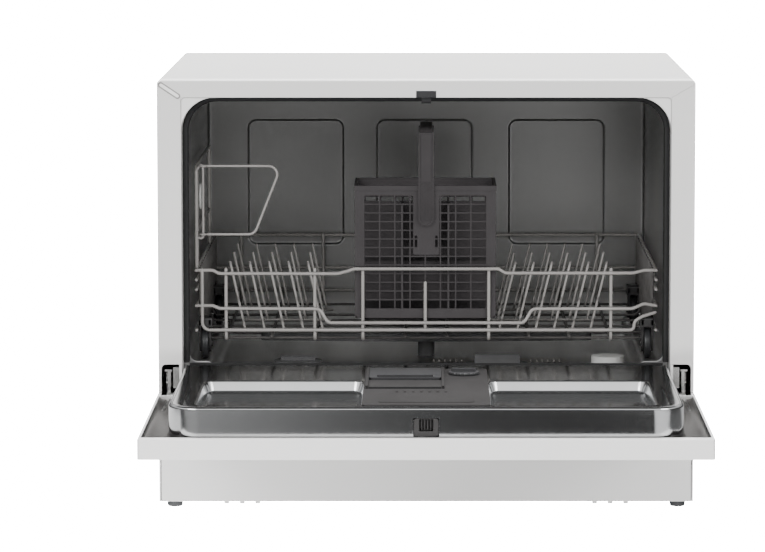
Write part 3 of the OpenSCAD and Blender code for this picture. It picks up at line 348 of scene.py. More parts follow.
plinth_hw, plinth_low, nub_low, plinth_top, lip_top = 0.2725, 0.007, 0.0048, 0.111, 0.116
half_plinth = []
for low_x in (0.171, 0.187, 0.203):
    half_plinth += [(low_x, plinth_low), (low_x, nub_low), (low_x + 0.005, nub_low),
                    (low_x + 0.005, plinth_low)]
half_plinth += [(plinth_hw, plinth_low), (plinth_hw, plinth_top), (mouth_hw, plinth_top),
                (mouth_hw, lip_top)]
other_half = [(-x, z) for x, z in half_plinth[::-1]]
plinth = other_half[3:] + half_plinth + other_half[:3]
plinth_lip = rounded(box_line(-0.2465, 0.115, 0.2465, lip_top), 1e-5, 1)
piece("plinth_strip", join(plate([plinth], front, front + sheet),
                           plate([plinth_lip], front + 0.0005, front + 0.004)),
      enamel, "white_enamel", "case", ["plinth_panel"], edge=0.0003)

wear("rear_panel", finish("zinc_sheet", (0.55, 0.56, 0.57), 0.42, metal=0.85, mottle=0.16,
                          size=55, rough_swing=0.12, bump=0.06, bump_size=260))
moulded = finish("tray_plastic", (0.16, 0.165, 0.17), 0.55, mottle=0.06, size=30,
                 bump=0.12, bump_size=1500)
wear("base_tray", moulded)
foot_look = finish("foot_rubber", (0.075, 0.077, 0.08), 0.62, mottle=0.1, size=60,
                   bump=0.15, bump_size=1300)
foot_profile = [(0.1, 0), (6.2, 0), (7.2, 0.4), (7.8, 1.2), (8, 2.4), (8, 5.8), (7.6, 6.6),
                (6.6, 7), (4.2, 7), (4, 7.2), (4, 27.8), (3.4, 28.4), (0.1, 28.4)]
feet = [stack([lift(circle(x, y, r / 1000, 32), z / 1000, 2)
               for r, z in foot_profile], caps=(True, True))
        for x in (-0.2595, 0.2595) for y in (front + 0.0155, front + 0.4665)]
piece("round_feet", join(*feet), foot_look, "foot_rubber", "case", ["levelling_feet"],
      crease=50)

# ---- Gasket ----
# A black extruded rubber section with a soft lip, pushed round the mouth and butted at the
# sill, where a separate strip seals under the door.

rubber = finish("seal_rubber", (0.009, 0.009, 0.0095), 0.62, mottle=0.12, size=35,
                rough_swing=0.1, bump=0.08, bump_size=900)
seal = [lift(mouth(inset / 1000, sill, 24), front + depth / 1000)
        for inset, depth in
        [(0.4, 38), (0, 34), (0, 30), (0.6, 28.7), (1.8, 28.1), (3.2, 28), (4.6, 28.3),
         (5.6, 29.1), (6, 30.5), (5.8, 32.5), (5, 33.5), (5, 34.5), (6, 35.5), (6, 37.6),
         (5.6, 38), (0.4, 38)]]
piece("mouth_gasket", stack(seal, closed=False, flip=True, ends=True), rubber, "seal_rubber",
      "case", ["door_seal"], crease=50)
wear("bottom_seal", rubber)

# ---- Tub ----
# The wash space is stainless sheet with a well in its floor and round top corners. Three
# round-cornered fields are embossed rearwards in its back wall.

tub_steel = finish("tub_steel", (0.45, 0.45, 0.445), 0.33, metal=1.0, mottle=0.04, size=7,
                   rough_swing=0.02, bump=0.0)
tub_hw, tub_top, tub_back = 0.2445, 0.4177, front + 0.418
well_z, well_hw, back_r = 0.130, 0.222, 0.004


def tub_ring(inset, depth):
    """The tub's section moved inwards by inset, at one depth: walls, round top corners, the
    two ledges and the well between them."""
    w, t, f, r = tub_hw - inset, tub_top - inset, well_hw - inset, 0.030 - inset * 0.3
    low = sill + inset
    corners = [(-f, well_z + inset), (-f, low), (-w, low), (-w, t), (w, t), (w, low), (f, low),
               (f, well_z + inset)]
    radii = [0.006, 0.004, 0.008, r, r, 0.008, 0.004, 0.006]
    return lift(rounded(corners, radii, 10), depth)


tub_rings = [tub_ring(inset, front + depth) for inset, depth in
             ((-0.0072, 0.0385), (-0.0012, 0.0385), (-0.0003, 0.0388), (0, 0.0395), (0, 0.06))]
tub_rings += [tub_ring(0, tub_back - back_r - 0.02), tub_ring(0, tub_back - back_r)]
tub_rings += [tub_ring(back_r * (1 - math.cos(a)), tub_back - back_r * (1 - math.sin(a)))
              for a in np.linspace(0, math.pi / 2, 9)[1:]]
tub_rings[0][:, 2] = np.maximum(tub_rings[0][:, 2], 0.1285)


def field(x0, grow):
    """The outline of one embossed field, grown by grow on every side."""
    return rounded(box_line(x0 - grow, 0.230 - grow, x0 + 0.108 + grow, 0.371 + grow),
                   0.010 + grow, 10)


field_from = (-0.200, -0.056, 0.092)
emboss = [(0.0012, 0.0), (0.0006, 0.0), (0.0, 0.0002), (-0.0006, 0.0008), (-0.0012, 0.0017),
          (-0.0018, 0.0023), (-0.0026, 0.0025), (-0.0034, 0.0025)]
fields = [stack([lift(field(x0, grow), tub_back + deep)
                 for grow, deep in emboss], caps=(False, True)) for x0 in field_from]
wall_points, wall_faces = face_over([tub_rings[-1][:, [0, 2]]]
                                    + [field(x0, emboss[0][0]) for x0 in field_from])
piece("pressed_tub", join(stack(tub_rings, flip=True),
                          (lift(wall_points, tub_back), wall_faces), *fields),
      tub_steel, "tub_steel", "case", ["tub"], crease=40, weld=True, even=True)

# ---- Springs ----
# The door is balanced by two steel pull springs between the base and the hinge arms, and a
# small push spring holds the latch tongue down. Both are wound from round wire.

spring_look = finish("spring_steel", (0.46, 0.46, 0.47), 0.28, metal=1.0, mottle=0.1,
                     size=120, bump=0.04, bump_size=600)


def coil(centre, radius, across, low, high, turns, tail=0.0, sides=8):
    """A wound spring about an upright axis: a circle carried along a helix, then along a
    straight tail that climbs by tail."""
    angle = np.linspace(0, 2 * math.pi * turns, int(turns * 18) + 1)
    path = np.stack([centre[0] + radius * np.cos(angle), centre[1] + radius * np.sin(angle),
                     np.linspace(low + across / 2, high - across / 2, len(angle))], 1)
    if tail:
        share = np.linspace(0, 1, 8)[1:, None]
        last, knee = path[-1], np.array((*centre, high + 0.002))
        path = np.concatenate([path, last + (knee - last) * share,
                               knee + (0, 0, tail - 0.002) * share])
    tangent = unit(np.gradient(path, axis=0))
    out = (path - (*centre, 0)) * (1, 1, 0)
    out[np.linalg.norm(out, axis=1) < 1e-5] = (1, 0, 0)
    out = unit(out - (out * tangent).sum(1)[:, None] * tangent)
    up = np.cross(tangent, out)
    (c, s) = circle(0, 0, across / 2, sides).T[:, None, :, None]
    return stack(path[:, None] + c * out[:, None] + s * up[:, None], caps=(True, True),
                 flip=True)


balance_y, balance_low = front + 0.017, 0.0302
springs = [coil((x, balance_y), 0.0036, 0.0016, balance_low, 0.100, 20, 0.0265)
           for x in (-0.2669, 0.2669)]
balance = piece("balance_coils", join(*springs), spring_look, "spring_steel", "case",
                ["balance_springs"], crease=60)
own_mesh(balance)
push = piece("latch_coil", coil((0, front + 0.011), 0.0026, 0.0007, 0.42615, 0.4393, 5),
             spring_look, "spring_steel", "case", ["latch_spring"], crease=60)
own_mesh(push)

# ---- Door outer panel ----
# The outer door skin is enamelled sheet folded to a shallow tray. Its raised rim shows all
# round the inner panel, and the hinge arms come in through notches at its rear corners.

pivot_y, pivot_z = front - 0.0028, 0.1175
door_end, shell_z, rim_z = front - 0.3273, 0.101, 0.120


def tray(outer, inner, holes, bottom, bed, top):
    """A shallow tray: outer and inner are the outlines of its wall, which runs from bottom to
    top, bed is the level of its inner floor, and holes go through the floor."""
    outer, inner, *holes = (turned(loop) for loop in (outer, inner, *holes))

    def face(loops, level, up):
        flat, tris = face_over(loops, up)
        return lift(flat, level, 2), tris

    def wall(loop, low, high, out=False):
        return stack([lift(loop, level, 2) for level in (low, high)], flip=not out)
    return join(wall(outer, bottom, top, True), face([outer, inner], top, True),
                wall(inner, bed, top), face([inner] + holes, bed, True),
                face([outer] + holes, bottom, False),
                *(wall(hole, bottom, bed) for hole in holes))


def both_sides(right):
    """An outline from its right half, which starts at the front."""
    left = [(-x, y) for x, y in right[::-1]]
    return left[-1:] + right + left[:-1]


notch, notch_x, arm_x, fold = 0.0168, 0.2716, 0.2505, 0.0168
liner_x, rim_x, step_y = 0.2475, 0.2726, pivot_y - 0.022
skin_line = both_sides([(case_hw, door_end), (case_hw, pivot_y), (notch_x, pivot_y),
                        (notch_x, pivot_y - notch), (arm_x, pivot_y - notch),
                        (arm_x, pivot_y)])
skin_radii = [3.5, 3.5, 0.8, 0.8, 2, 2, 0.8, 0.8, 2, 2, 0.8, 0.8]
rim_line = both_sides([(rim_x, door_end + fold), (rim_x, step_y), (liner_x, step_y),
                       (liner_x, pivot_y - 0.002)])
rim_radii = [3, 3, 2, 1, 0.6, 0.6, 1, 2]
grip_low = door_end + 0.069
door_holes = [rounded(box_line(-0.230, door_end + 0.007, 0.230, door_end + 0.059), 0.003, 4),
              rounded(box_line(-0.070, grip_low, 0.070, grip_low + 0.034), 0.006, 5)]
piece("door_skin", tray(rounded(skin_line, np.array(skin_radii) / 1000, 4),
                        rounded(rim_line, np.array(rim_radii) / 1000, 4), door_holes,
                        shell_z, shell_z + sheet, rim_z),
      enamel, "white_enamel", "door", ["door_outer_panel"], edge=0.0009, crease=40, steps=3,
      weld=True)

# ---- Door inner panel ----
# The inner panel is drawn from polished stainless sheet: walls with a rolled edge, two
# sunk fields for plates, a round heel about the hinge line, and a notch for the keeper.

door_steel = finish("door_steel", (0.50, 0.505, 0.51), 0.13, metal=1.0, mottle=0.05, size=16,
                    rough_swing=0.04, bump=0.006, bump_size=300)
panel_hw, panel_top, panel_end, panel_r = 0.2467, 0.148, front - 0.307, 0.030
keeper_hw = 0.0124


def open_plan(hw, end, r, start, stops=()):
    """A plan open at the hinge side: up the left side from start, round two corners and back
    along the right side, with stops between the corners."""
    arc = np.linspace(0, math.pi / 2, 11)
    left = np.stack([-hw + r - r * np.cos(arc), end + r - r * np.sin(arc)], 1)
    return np.concatenate([[(-hw, start)], left, np.reshape(stops, (-1, 2)),
                           left[::-1] * (-1, 1), [(hw, start)]])


roll = 0.0022
quarter = np.linspace(0, math.pi / 2, 7)[1:]
wall_profile = [(0, 0.1182), (0, 0.1204), (0, 0.1384), (0, panel_top - roll)]
wall_profile += [(roll * (1 - math.cos(a)), panel_top - roll * (1 - math.sin(a))) for a in quarter]
wall_profile += [(roll + 0.0008, panel_top)]
heel = np.radians(np.linspace(74, 0, 14)[:-1])
panel_rows = []
for inset, z in wall_profile:
    end = panel_end + inset
    plan = open_plan(panel_hw - inset, end, panel_r - inset, pivot_y,
                     [(-keeper_hw, end), (keeper_hw, end)])
    # The heel's lower part is cut back, to pass behind the plinth as the door closes.
    clear = (0.0039 + 0.06 * (z - 0.118)) / np.cos(heel)
    reach = np.where(heel > 0.28, np.maximum(z - pivot_z, clear), z - pivot_z)
    start = np.stack([plan[0, 0] + 0 * heel, pivot_y + reach * np.sin(heel),
                      pivot_z + reach * np.cos(heel)], 1)
    panel_rows.append(np.concatenate([start, lift(plan, z, 2),
                                      start[::-1] * (-1, 1, 1)]))
side_points, side_faces = stack(panel_rows, closed=False, flip=True)
across = len(panel_rows[0]) - 1
side_faces.pop(across + len(heel) + 12)
top_row = panel_rows[-1]
heel_part = stack([top_row[:14], top_row[::-1][:14]], closed=False)
field_deep = 0.0115


def sunk(side, grow):
    """The outline of one plate field on its side, grown by grow."""
    return rounded(box_line(0.064 - grow, front - 0.290 - grow, 0.219 + grow,
                            front - 0.116 + grow) * (side, 1), 0.009 + grow, 8)


sink = [(0.0040, 0), (0.0030, 0), (0.0022, 0.0004), (0.0015, 0.0012), (-0.0013, 0.0093),
        (-0.0020, 0.0106), (-0.0031, 0.0113), (-0.0044, field_deep), (-0.0055, field_deep)]
floors = [stack([lift(sunk(side, grow), panel_top - deep, 2)
                 for grow, deep in sink], caps=(False, True), flip=side < 0)
          for side in (-1, 1)]
cut_out = box_line(-0.0565, front - 0.293, 0.0565, front - 0.045)
flat, tris = face_over([top_row[13:-13, :2]] + [sunk(side, sink[0][0]) for side in (-1, 1)]
                       + [cut_out])
piece("door_liner", join((side_points, side_faces), heel_part,
                         (lift(flat, panel_top, 2), tris), *floors),
      door_steel, "door_steel", "door", ["door_inner_panel"], crease=50, weld=True,
      thick=0.0008, even=True)

# The gutter wears a dark copy of the door steel: painted shade in the gutter round the inner
# panel.
gutter_shaded_steel = finish("gutter_shaded_steel", (0.11, 0.10, 0.095), 0.30, metal=1.0, mottle=0.06, size=18,
                      rough_swing=0.05, bump=0.006, bump_size=300)
gap, stop = 0.0002, pivot_y - 0.017
near = open_plan(panel_hw - gap, panel_end + gap, panel_r - gap, stop)
far = open_plan(rim_x - gap, door_end + fold + gap, 0.002, stop)
gutter = [lift(near * (1 - share) + far * share, z / 1000, 2) for share, z in
          ((1.0, 119.6), (0.99, 118.6), (0.95, 117.6), (0.86, 116.9), (0.7, 116.6),
           (0.4, 116.5), (0.14, 116.7), (0.05, 117.2), (0.0, 118.4))]
piece("door_gutter", stack(gutter, closed=False, flip=True), gutter_shaded_steel, "door_steel",
      "door", crease=50, even=True)

# ---- Printed marks ----
# Five small programme marks are screen-printed on the front wall of the inner panel: drops,
# a glass, a plate, a pot and a clock, with a short scale under them.

mark_grey = finish("pale_plastic", (0.33, 0.345, 0.35), 0.5, mottle=0.06, size=300, bump=0.02)
mark_blue = finish("pale_plastic", (0.16, 0.26, 0.36), 0.5, mottle=0.08, size=300, bump=0.02)
ink = front - 0.30714, front - 0.30698
mark_z = 137.5


def ring_mark(x, z, r, line):
    """A printed ring, or a dot."""
    loops = [circle(x, z, reach, 28) / 1000 for reach in (r, r - line) if reach > 0]
    return plate(loops, *ink)


def line_mark(x0, z0, x1, z1, line=0.7):
    """A printed line of even width between two points."""
    a, b = np.array((x0, z0)), np.array((x1, z1))
    way = unit(b - a)
    side = np.array((-way[1], way[0])) * line / 2
    return plate([np.array([a - side, b - side, b + side, a + side]) / 1000], *ink)


drops = [ring_mark(78.5 + x, mark_z + z, r, r) for x, z, r in
         ((-3.6, 2.2, 1.2), (0, 3.4, 1.4), (3.6, 2.2, 1.2), (-1.9, -0.6, 1.3), (2.0, -0.8, 1.3),
          (0, -3.6, 1.1), (-4.6, -1.6, 0.8), (4.8, -1.8, 0.8), (0, -9.2, 0.9))]
glyphs = {100.5: [(-3, 4, 3, 4), (-3, 4, -1.4, -0.4), (3, 4, 1.4, -0.4), (-1.6, -0.4, 1.6, -0.4),
                  (0, -0.4, 0, -4), (-2.2, -4, 2.2, -4)],
          121.5: [(4.4, 0.7), (2.4, 0.6)],
          143: [(-3.6, 1.4, 3.6, 1.4), (-3.6, 1.4, -3.2, -3.6), (3.6, 1.4, 3.2, -3.6),
                (-3.3, -3.6, 3.3, -3.6), (-5.4, 0.4, -3.6, 0.4), (3.6, 0.4, 5.4, 0.4),
                (-1, 3.2, 1, 3.2)],
          165: [(4.4, 0.7), (0, -0.2, 0, 2.8), (-0.2, 0, 2.2, -1.2)]}
marks = [line_mark(90, 126.6, 178, 126.6, 0.4)]
for n, (x, strokes) in enumerate(glyphs.items()):
    for stroke in strokes:
        if len(stroke) == 2:
            marks.append(ring_mark(x, mark_z, *stroke))
        else:
            marks.append(line_mark(*(np.array(stroke) + (x, mark_z, x, mark_z))))
    marks += [line_mark(at, mark_z - 7, at, mark_z - 8.6, 0.8)
              for at in x - n * 1.1 + 2.2 * np.arange(n + 1)]
piece("drop_mark", join(*drops), mark_blue, "pale_plastic", "door")
piece("programme_marks", join(*marks), mark_grey, "pale_plastic", "door")

# ---- Dispenser and keeper ----
# The dispenser is a moulded block let into the inner panel, with a sliding lid over the
# detergent cup and a bayonet cap for rinse aid. The keeper is a plastic block in the front
# wall with a plated strike.

disp_look = finish("black_plastic", (0.030, 0.029, 0.029), 0.46, mottle=0.08, size=45,
                   bump=0.09, bump_size=1300, specular=0.2)
lid_look = finish("grey_plastic", (0.040, 0.040, 0.042), 0.36, mottle=0.07, size=50,
                  bump=0.08, bump_size=1300)


def pad(x0, y0, x1, y1, r):
    """A level box outline with round corners, in millimetres from the case front."""
    return rounded(box_line(x0, y0, x1, y1) / 1000 + (0, front), r / 1000, 5)


def slabs(*rows):
    """Level slabs: for each its pad, its two levels in millimetres and its holes."""
    return [plate([pad(*row[:5]), *row[7:]], row[5] / 1000, row[6] / 1000, "z") for row in rows]


cap_x, cap_y = 38, -80
cup, bore = pad(-52, -117, 10, -56, 4), circle(cap_x, cap_y, 9.4, 40) / 1000 + (0, front)
body = slabs((-61.5, -298, 61.5, -40, 4, 148.02, 150, cup, bore),
             (-56.5, -293, 56.5, -45, 3, 124.5, 148.0, cup, bore),
             (-52.5, -117.5, 10.5, -55.5, 4, 124.5, 128),
             *((x, -187, x + 2.7, -48, 0.6, 149.5, 153) for x in (-60, 15.3)),
             *((x, -212, x + 2.5, -196, 0.9, 149.6, 150.6) for x in range(-30, 19, 8)),
             (-46, -284, 46, -222, 5, 149.6, 150.5))
# A black slab at the front end of the lid's track, in the seal rubber finish, is painted shadow
# along that step.
piece("lid_track_shadow", *slabs((-57, -187, 15, -184.6, 0.6, 149.6, 151.6)), rubber, "seal_rubber",
      "door", edge=0.0003)
piece("dispenser_block", join(*body), disp_look, "black_plastic", "door",
      ["dispenser_body"], edge=0.0004)
lid = slabs((-57, -123, 15, -50, 2.5, 150.3, 152.5), (-49, -121, 7, -119, 0.8, 152.3, 154.8),
            (-45, -112, 3, -60, 5, 152.3, 152.9))
piece("lid_plate", join(*lid), lid_look, "grey_plastic", "lid", ["detergent_lid"], edge=0.0005)
knurl = 1 + 0.018 * np.sign(np.sin(np.arange(72) * 2 * math.pi / 72 * 24))
cap_profile = [(0.2, 140, 0), (8.9, 140, 0), (9, 150.3, 0), (14.6, 150.3, 1), (15.4, 150.5, 1),
               (15.6, 151.1, 1), (15.6, 152.5, 1), (15.2, 153.1, 1), (14.4, 153.3, 0),
               (12.6, 153.3, 0), (12.0, 152.7, 0), (0.2, 152.6, 0)]
cap = [lift(circle(cap_x, cap_y, r * (knurl if ribbed else 1), 72) / 1000 + (0, front),
            z / 1000, 2) for r, z, ribbed in cap_profile]
piece("rinse_cap_disc", join(stack(cap, caps=(True, True)),
                             *slabs((25.4, -82, 50.6, -78, 1.9, 152.5, 156.2))),
      lid_look, "grey_plastic", "rinse_cap", ["rinse_aid_cap"], edge=0.0003)

keeper_front = rounded(np.array([(-11.6, 120.5), (11.6, 120.5), (12, 137.9), (-12, 137.9)]) / 1000,
                       [0.002, 0.002, 0.003, 0.003], 5)
strike_gap = rounded(box_line(-6.8, 125.5, 6.8, 137.1) / 1000, 0.001, 3)
keeper_back = rounded(box_line(-11.4, 121, 11.4, 137.5) / 1000, 0.002, 3)
keeper = [plate([keeper_front, strike_gap], front - 0.3067, front - 0.2965),
          plate([keeper_back], front - 0.2975, front - 0.296)]
keeper += [plate([box_line(x, 126, x + 1, 136.6) / 1000], front - 0.3035, front - 0.2972)
           for x in (-4.9, -2.0, 0.9, 3.8)]
piece("keeper_block", join(*keeper), disp_look, "black_plastic", "door", ["latch_keeper"],
      edge=0.0004)
rim_look = finish("hinge_steel", (0.58, 0.59, 0.60), 0.25, metal=1.0, mottle=0.08, size=70,
                  bump=0.04, bump_size=500)
strike = both_sides([(12.2, 139.1), (12.9, 138.2), (12.9, 120.6), (12.3, 120.6), (12.3, 137.9),
                     (11.9, 138.4)])
piece("strike_rim", plate([np.array(strike) / 1000], front - 0.3078, front - 0.3066), rim_look,
      "hinge_steel", "door", edge=0.0002)

# ---- Basket ----
# The basket is steel wire, bent and welded where it crosses, then dipped in a smooth grey
# nylon coat. Its cross wires run from rim to rim as one U, its long wires turn up at both
# ends, and the rim dips where the hands reach in.

coat_look = finish("basket_coat", (0.19, 0.182, 0.174), 0.38, mottle=0.05, size=45,
                   rough_swing=0.07, bump=0.10, bump_size=420, coat=0.15)
# The floor grid wears a much darker copy of the coat: painted shade on the basket floor.
floor_shaded_coat = finish("floor_shaded_coat", (0.055, 0.052, 0.050), 0.5, mottle=0.08, size=45,
                    bump=0.1, bump_size=1200)
basket_hw, basket_front, basket_back = 238.0, 46.0, 412.0
rim, middle, lower, bed = 241.6, 204.8, 179.3, 169.0
thick_wire, thin_wire = 3.5, 2.7


def wire(points, across, bend=8.0, ends=True):
    """A round wire along a bent path, in millimetres from the case front: each corner of the
    path becomes an arc, a circle is carried along it without twist, and the ends are domed."""
    points = np.asarray(points, float)
    path = [points[0]]
    for p, here, q in zip(points[:-2], points[1:-1], points[2:]):
        back, on = unit(p - here), unit(q - here)
        turn = math.pi - math.acos(float(np.clip(back @ on, -1, 1)))
        reach = min(bend * math.tan(turn / 2), 0.48 * np.linalg.norm(p - here),
                    0.48 * np.linalg.norm(q - here))
        centre = here + unit(back + on) * reach / math.tan(turn / 2) / math.cos(turn / 2)
        start, end = here + back * reach - centre, here + on * reach - centre
        count = max(2, math.ceil(6 * turn / (math.pi / 2)))
        share = np.linspace(0, 1, count + 1)[:, None]
        path.extend(centre + (np.sin((1 - share) * turn) * start + np.sin(share * turn) * end)
                    / math.sin(turn))
    path = np.array(path + [points[-1]])
    tangent = np.gradient(path, axis=0)
    tangent[0], tangent[-1] = path[1] - path[0], path[-1] - path[-2]
    tangent = unit(tangent)
    side = np.cross(tangent[0], (0.0, 0.0, 1.0))
    if np.linalg.norm(side) < 0.1:
        side = np.cross(tangent[0], (0.0, 1.0, 0.0))
    sides = []
    for t in tangent:
        side = unit(side - (side @ t) * t)
        sides.append(side)
    side, up = np.array(sides), np.cross(tangent, sides)
    c, s = circle(0, 0, across / 2, 12).T[:, None, :, None]
    ring = c * side[:, None] + s * up[:, None]
    rings = [path[:, None] + ring]
    if ends:
        dome = np.radians([80, 55, 28])[:, None, None]
        high, wide = 0.35 * across * np.sin(dome), np.cos(dome)
        rings = [path[0] - tangent[0] * high + ring[0] * wide, *rings,
                 path[-1] + tangent[-1] * high[::-1] + ring[-1] * wide[::-1]]
    return stack(np.concatenate(rings) / 1000 + (0, front, 0), caps=(True, True), flip=True)


def run(x0, y0, z0, x1, y1, z1, across):
    """A straight wire between two points."""
    return wire([(x0, y0, z0), (x1, y1, z1)], across)


end, y0, y1 = basket_hw - 0.5, basket_front + 3.3, basket_back - 3.3
rim_line = [(-end, 0), (-220.7, 0), (-214.8, -3.4), (-90.9, -3.6), (-74, 1.4), (75, 1.4),
            (81.8, -3), (213.5, -3), (226, 0), (end, 0)]
middle_line = [(-end, 0), (-221, 0), (-214, -3), (-110.5, -3.4), (-101.8, -18), (101.4, -18),
               (109.7, -3.4), (213.7, -3.2), (225.4, 2), (end, 0)]
front_wires = [wire([(x, basket_front, level + z) for x, z in line], thick_wire, 7)
               for level, line in ((rim, rim_line), (middle, middle_line))]
front_wires += [wire([(x, basket_front, z) for x, z in
                      ((-232, rim + 1), (-232, lower), (215.4, lower), (215.4, lower + 9),
                       (223.5, lower + 14), (end, middle - 7))], thick_wire),
                run(-1, y0, lower - 1, -1, y0, rim - 13, thick_wire)]
rear_wires = [run(-end, basket_back, z, end, basket_back, z, thick_wire)
              for z in (rim, middle, lower)]
rear_wires.append(run(0, y1, lower - 1, 0, y1, rim + 0.5, thick_wire))
floor_wires = []
for x in (-207.4, -115.5, -65.7, 64.8, 191.4):
    for wires, y, step in ((front_wires, y0, 12), (rear_wires, y1, -12)):
        wires.append(wire([(x, y, rim + 1), (x, y, bed), (x, y + step, bed)], thick_wire, 9))
    floor_wires.append(run(x, y0 + 12, bed, x, y1 - 12, bed, thick_wire))
for x in (-161, -22, 22, 107, 149):
    floor_wires.append(wire([(x, y0 + 24, bed), (x, y1, bed), (x, y1, lower + 2)], thick_wire, 4))
side_at, cross = 235.1, bed - 3.3
for n in range(14):
    y = basket_front + 20 + n * 25
    by_wheel = min(abs(y - 60), abs(y - 352)) < 22
    if n % 2 and not by_wheel:
        floor_wires.append(wire([(-side_at, y, rim + 0.5), (-side_at, y, cross),
                                 (side_at, y, cross), (side_at, y, rim + 0.5)], thin_wire, 10))
    else:
        floor_wires += [run(x, y, 193.5 if by_wheel else cross, x, y, rim + 0.5, thin_wire)
                        for x in (-side_at, side_at)]
for y in (70.6, 131.0):
    floor_wires.append(wire([(-65.7, y, bed + 2), (-65.7, y, 188.8), (64.8, y, 188.8),
                             (64.8, y, bed + 2)], thick_wire, 7))
side_wires = [run(x, basket_front - 2, z, x, basket_back + 2, z, across)
              for x in (-basket_hw, basket_hw)
              for z, across in ((rim, 3.5), (rim - 10, 3.3), (rim - 20, 3.3), (middle, 3.3),
                                (lower, 3.5))]
piece("basket_wires", join(*front_wires, *rear_wires, *side_wires), coat_look,
      "basket_coat", "basket", ["basket_front_wires", "basket_rear_wires", "basket_left_wires",
                                "basket_right_wires"], crease=60)
piece("floor_grid", join(*floor_wires), floor_shaded_coat, "basket_coat", "basket",
      ["basket_floor_wires"], crease=60)

# ---- Plate tines, left frame and cup shelf ----
# Tines are single wires welded to a carrier across the floor wires. The left frame is a bent
# hoop with uprights, and the cup shelf is one wire with two eyes that turn on a post.

carrier, tine = 171.9, 72
left_row, right_row = [], []
for row, x0, x1, first, pitch, count, lean in (
        (left_row, -196, -102.4, -190, 20.4, 5, math.radians(-12.6)),
        (right_row, 70.3, 178.3, 76.3, 19.2, 6, math.radians(14))):
    for y in (106, 196, 286):
        row.append(run(x0, y, carrier, x1, y, carrier, thin_wire))
        row += [run(x, y, carrier, x + tine * math.sin(lean), y,
                    carrier + 1.8 + tine * math.cos(lean), thin_wire)
                for x in first + pitch * np.arange(count)]
piece("left_plate_tines", join(*left_row), coat_look, "basket_coat", "basket", ["left_tines"],
      crease=60)
piece("right_plate_tines", join(*right_row), coat_look, "basket_coat", "basket",
      ["right_tines"], crease=60)
frame_y, frame_y1, shelf_x, post_low, post_high = 56, 323, -231, 280, 349
left_frame = [wire([(-basket_hw, y, z) for y, z in
                    ((frame_y, rim + 2), (frame_y, post_high), (frame_y1, post_high),
                     (frame_y1, rim + 2))], thick_wire, 9),
              run(-basket_hw, frame_y - 2, post_low, -basket_hw, frame_y1 + 2, post_low,
                  thick_wire)]
left_frame += [run(-basket_hw, frame_y + y, rim + 2, -basket_hw, frame_y + y, post_high,
                   thick_wire) for y in (12, 255)]
left_frame.append(wire([(-basket_hw, frame_y, post_high - 5), (shelf_x, frame_y, post_high + 5),
                        (shelf_x, frame_y, post_low - 7), (-basket_hw, frame_y, post_low - 5)],
                       thin_wire, 3))
piece("left_wire_frame", join(*left_frame), coat_look, "basket_coat", "basket",
      ["left_side_frame"], crease=60)
hoop_x, hoop_low = shelf_x + 3.4, post_low - 2
shelf = [wire([(hoop_x, frame_y, post_high), (-150, frame_y, post_high),
               (-178, frame_y, hoop_low), (hoop_x, frame_y, hoop_low)], thin_wire, 9)]
for z in (hoop_low, post_high):
    eye = circle(shelf_x, frame_y, 3.2, 24)
    shelf.append(wire(lift(eye[np.arange(25) % 24], z, 2), 2.4, 1, ends=False))
piece("cup_hoop", join(*shelf), coat_look, "basket_coat", "shelf", ["cup_shelf"], crease=60)

# ---- Cutlery basket ----
# The cutlery basket is moulded in one shot from warm grey plastic: a stiff frame, a fine
# grille in each wall, and thin dividers. The bow handle has a channel leg on each long wall,
# clipped on the plate in its middle.

cutlery_look = finish("cutlery_plastic", (0.028, 0.0255, 0.0265), 0.50, mottle=0.08, size=40,
                      bump=0.14, bump_size=1400, specular=0.3)
cx0, cx1, cy0, cy1, cz0, cz1 = -74.0, 72.0, 52.6, 148.6, 191.0, 328.5
border, wall, rib = 10.0, 2.2, 1.4


def block(x0, y0, z0, x1, y1, z1):
    """A block between two corners, in millimetres from the case front."""
    loop = box_line(x0, y0, x1, y1) / 1000 + (0, front)
    return stack([lift(loop, z / 1000, 2) for z in (z0, z1)], caps=(True, True))


def ribs(u0, u1, uprights, near, far, along_x):
    """A grille of upright and level ribs in one wall: u0 and u1 are its ends along the wall,
    near and far its faces."""
    spots = []
    for u in u0 + (u1 - u0) * np.arange(1, uprights) / uprights:
        spots.append((u - rib / 2, near, gz0, u + rib / 2, far, gz1))
    for z in gz0 + (gz1 - gz0) * np.arange(1, 13) / 13:
        spots.append((u0 - 0.4, near + 0.3, z - rib / 2, u1 + 0.4, far - 0.3, z + rib / 2))
    if not along_x:
        spots = [(y0, x0, z0, y1, x1, z1) for x0, y0, z0, x1, y1, z1 in spots]
    return [block(*spot) for spot in spots]


gx0, gx1, gy0, gy1, gz0, gz1 = (cx0 + border, cx1 - border, cy0 + border, cy1 - border,
                                cz0 + border, cz1 - border)
plate_hw, plate_low = 13.5, 257.0
opening = [(gx0, gz0), (gx1, gz0), (gx1, gz1), (plate_hw, gz1), (plate_hw, plate_low),
           (-plate_hw, plate_low), (-plate_hw, gz1), (gx0, gz1)]
long_wall = [rounded(box_line(cx0, cz0, cx1, cz1) / 1000, [0.006, 0.006, 0.003, 0.003], 5),
             rounded(np.array(opening) / 1000, 0.0015, 3)]
long_wall += [rounded(box_line(x - 1.3, 264.0, x + 1.3, 277.0) / 1000, 0.0012, 3)
              for x in (-10.6, 10.6)]
short_wall = [box_line(cy0 + 1, cz0, cy1 - 1, cz1) / 1000 + (front, 0),
              box_line(gy0, gz0, gy1, gz1) / 1000 + (front, 0)]
cutlery = []
for y in (cy0, cy1 - wall):
    cutlery.append(plate(long_wall, front + y / 1000, front + (y + wall) / 1000))
    cutlery += ribs(gx0, gx1, 8, y + 0.2, y + wall - 0.2, True)
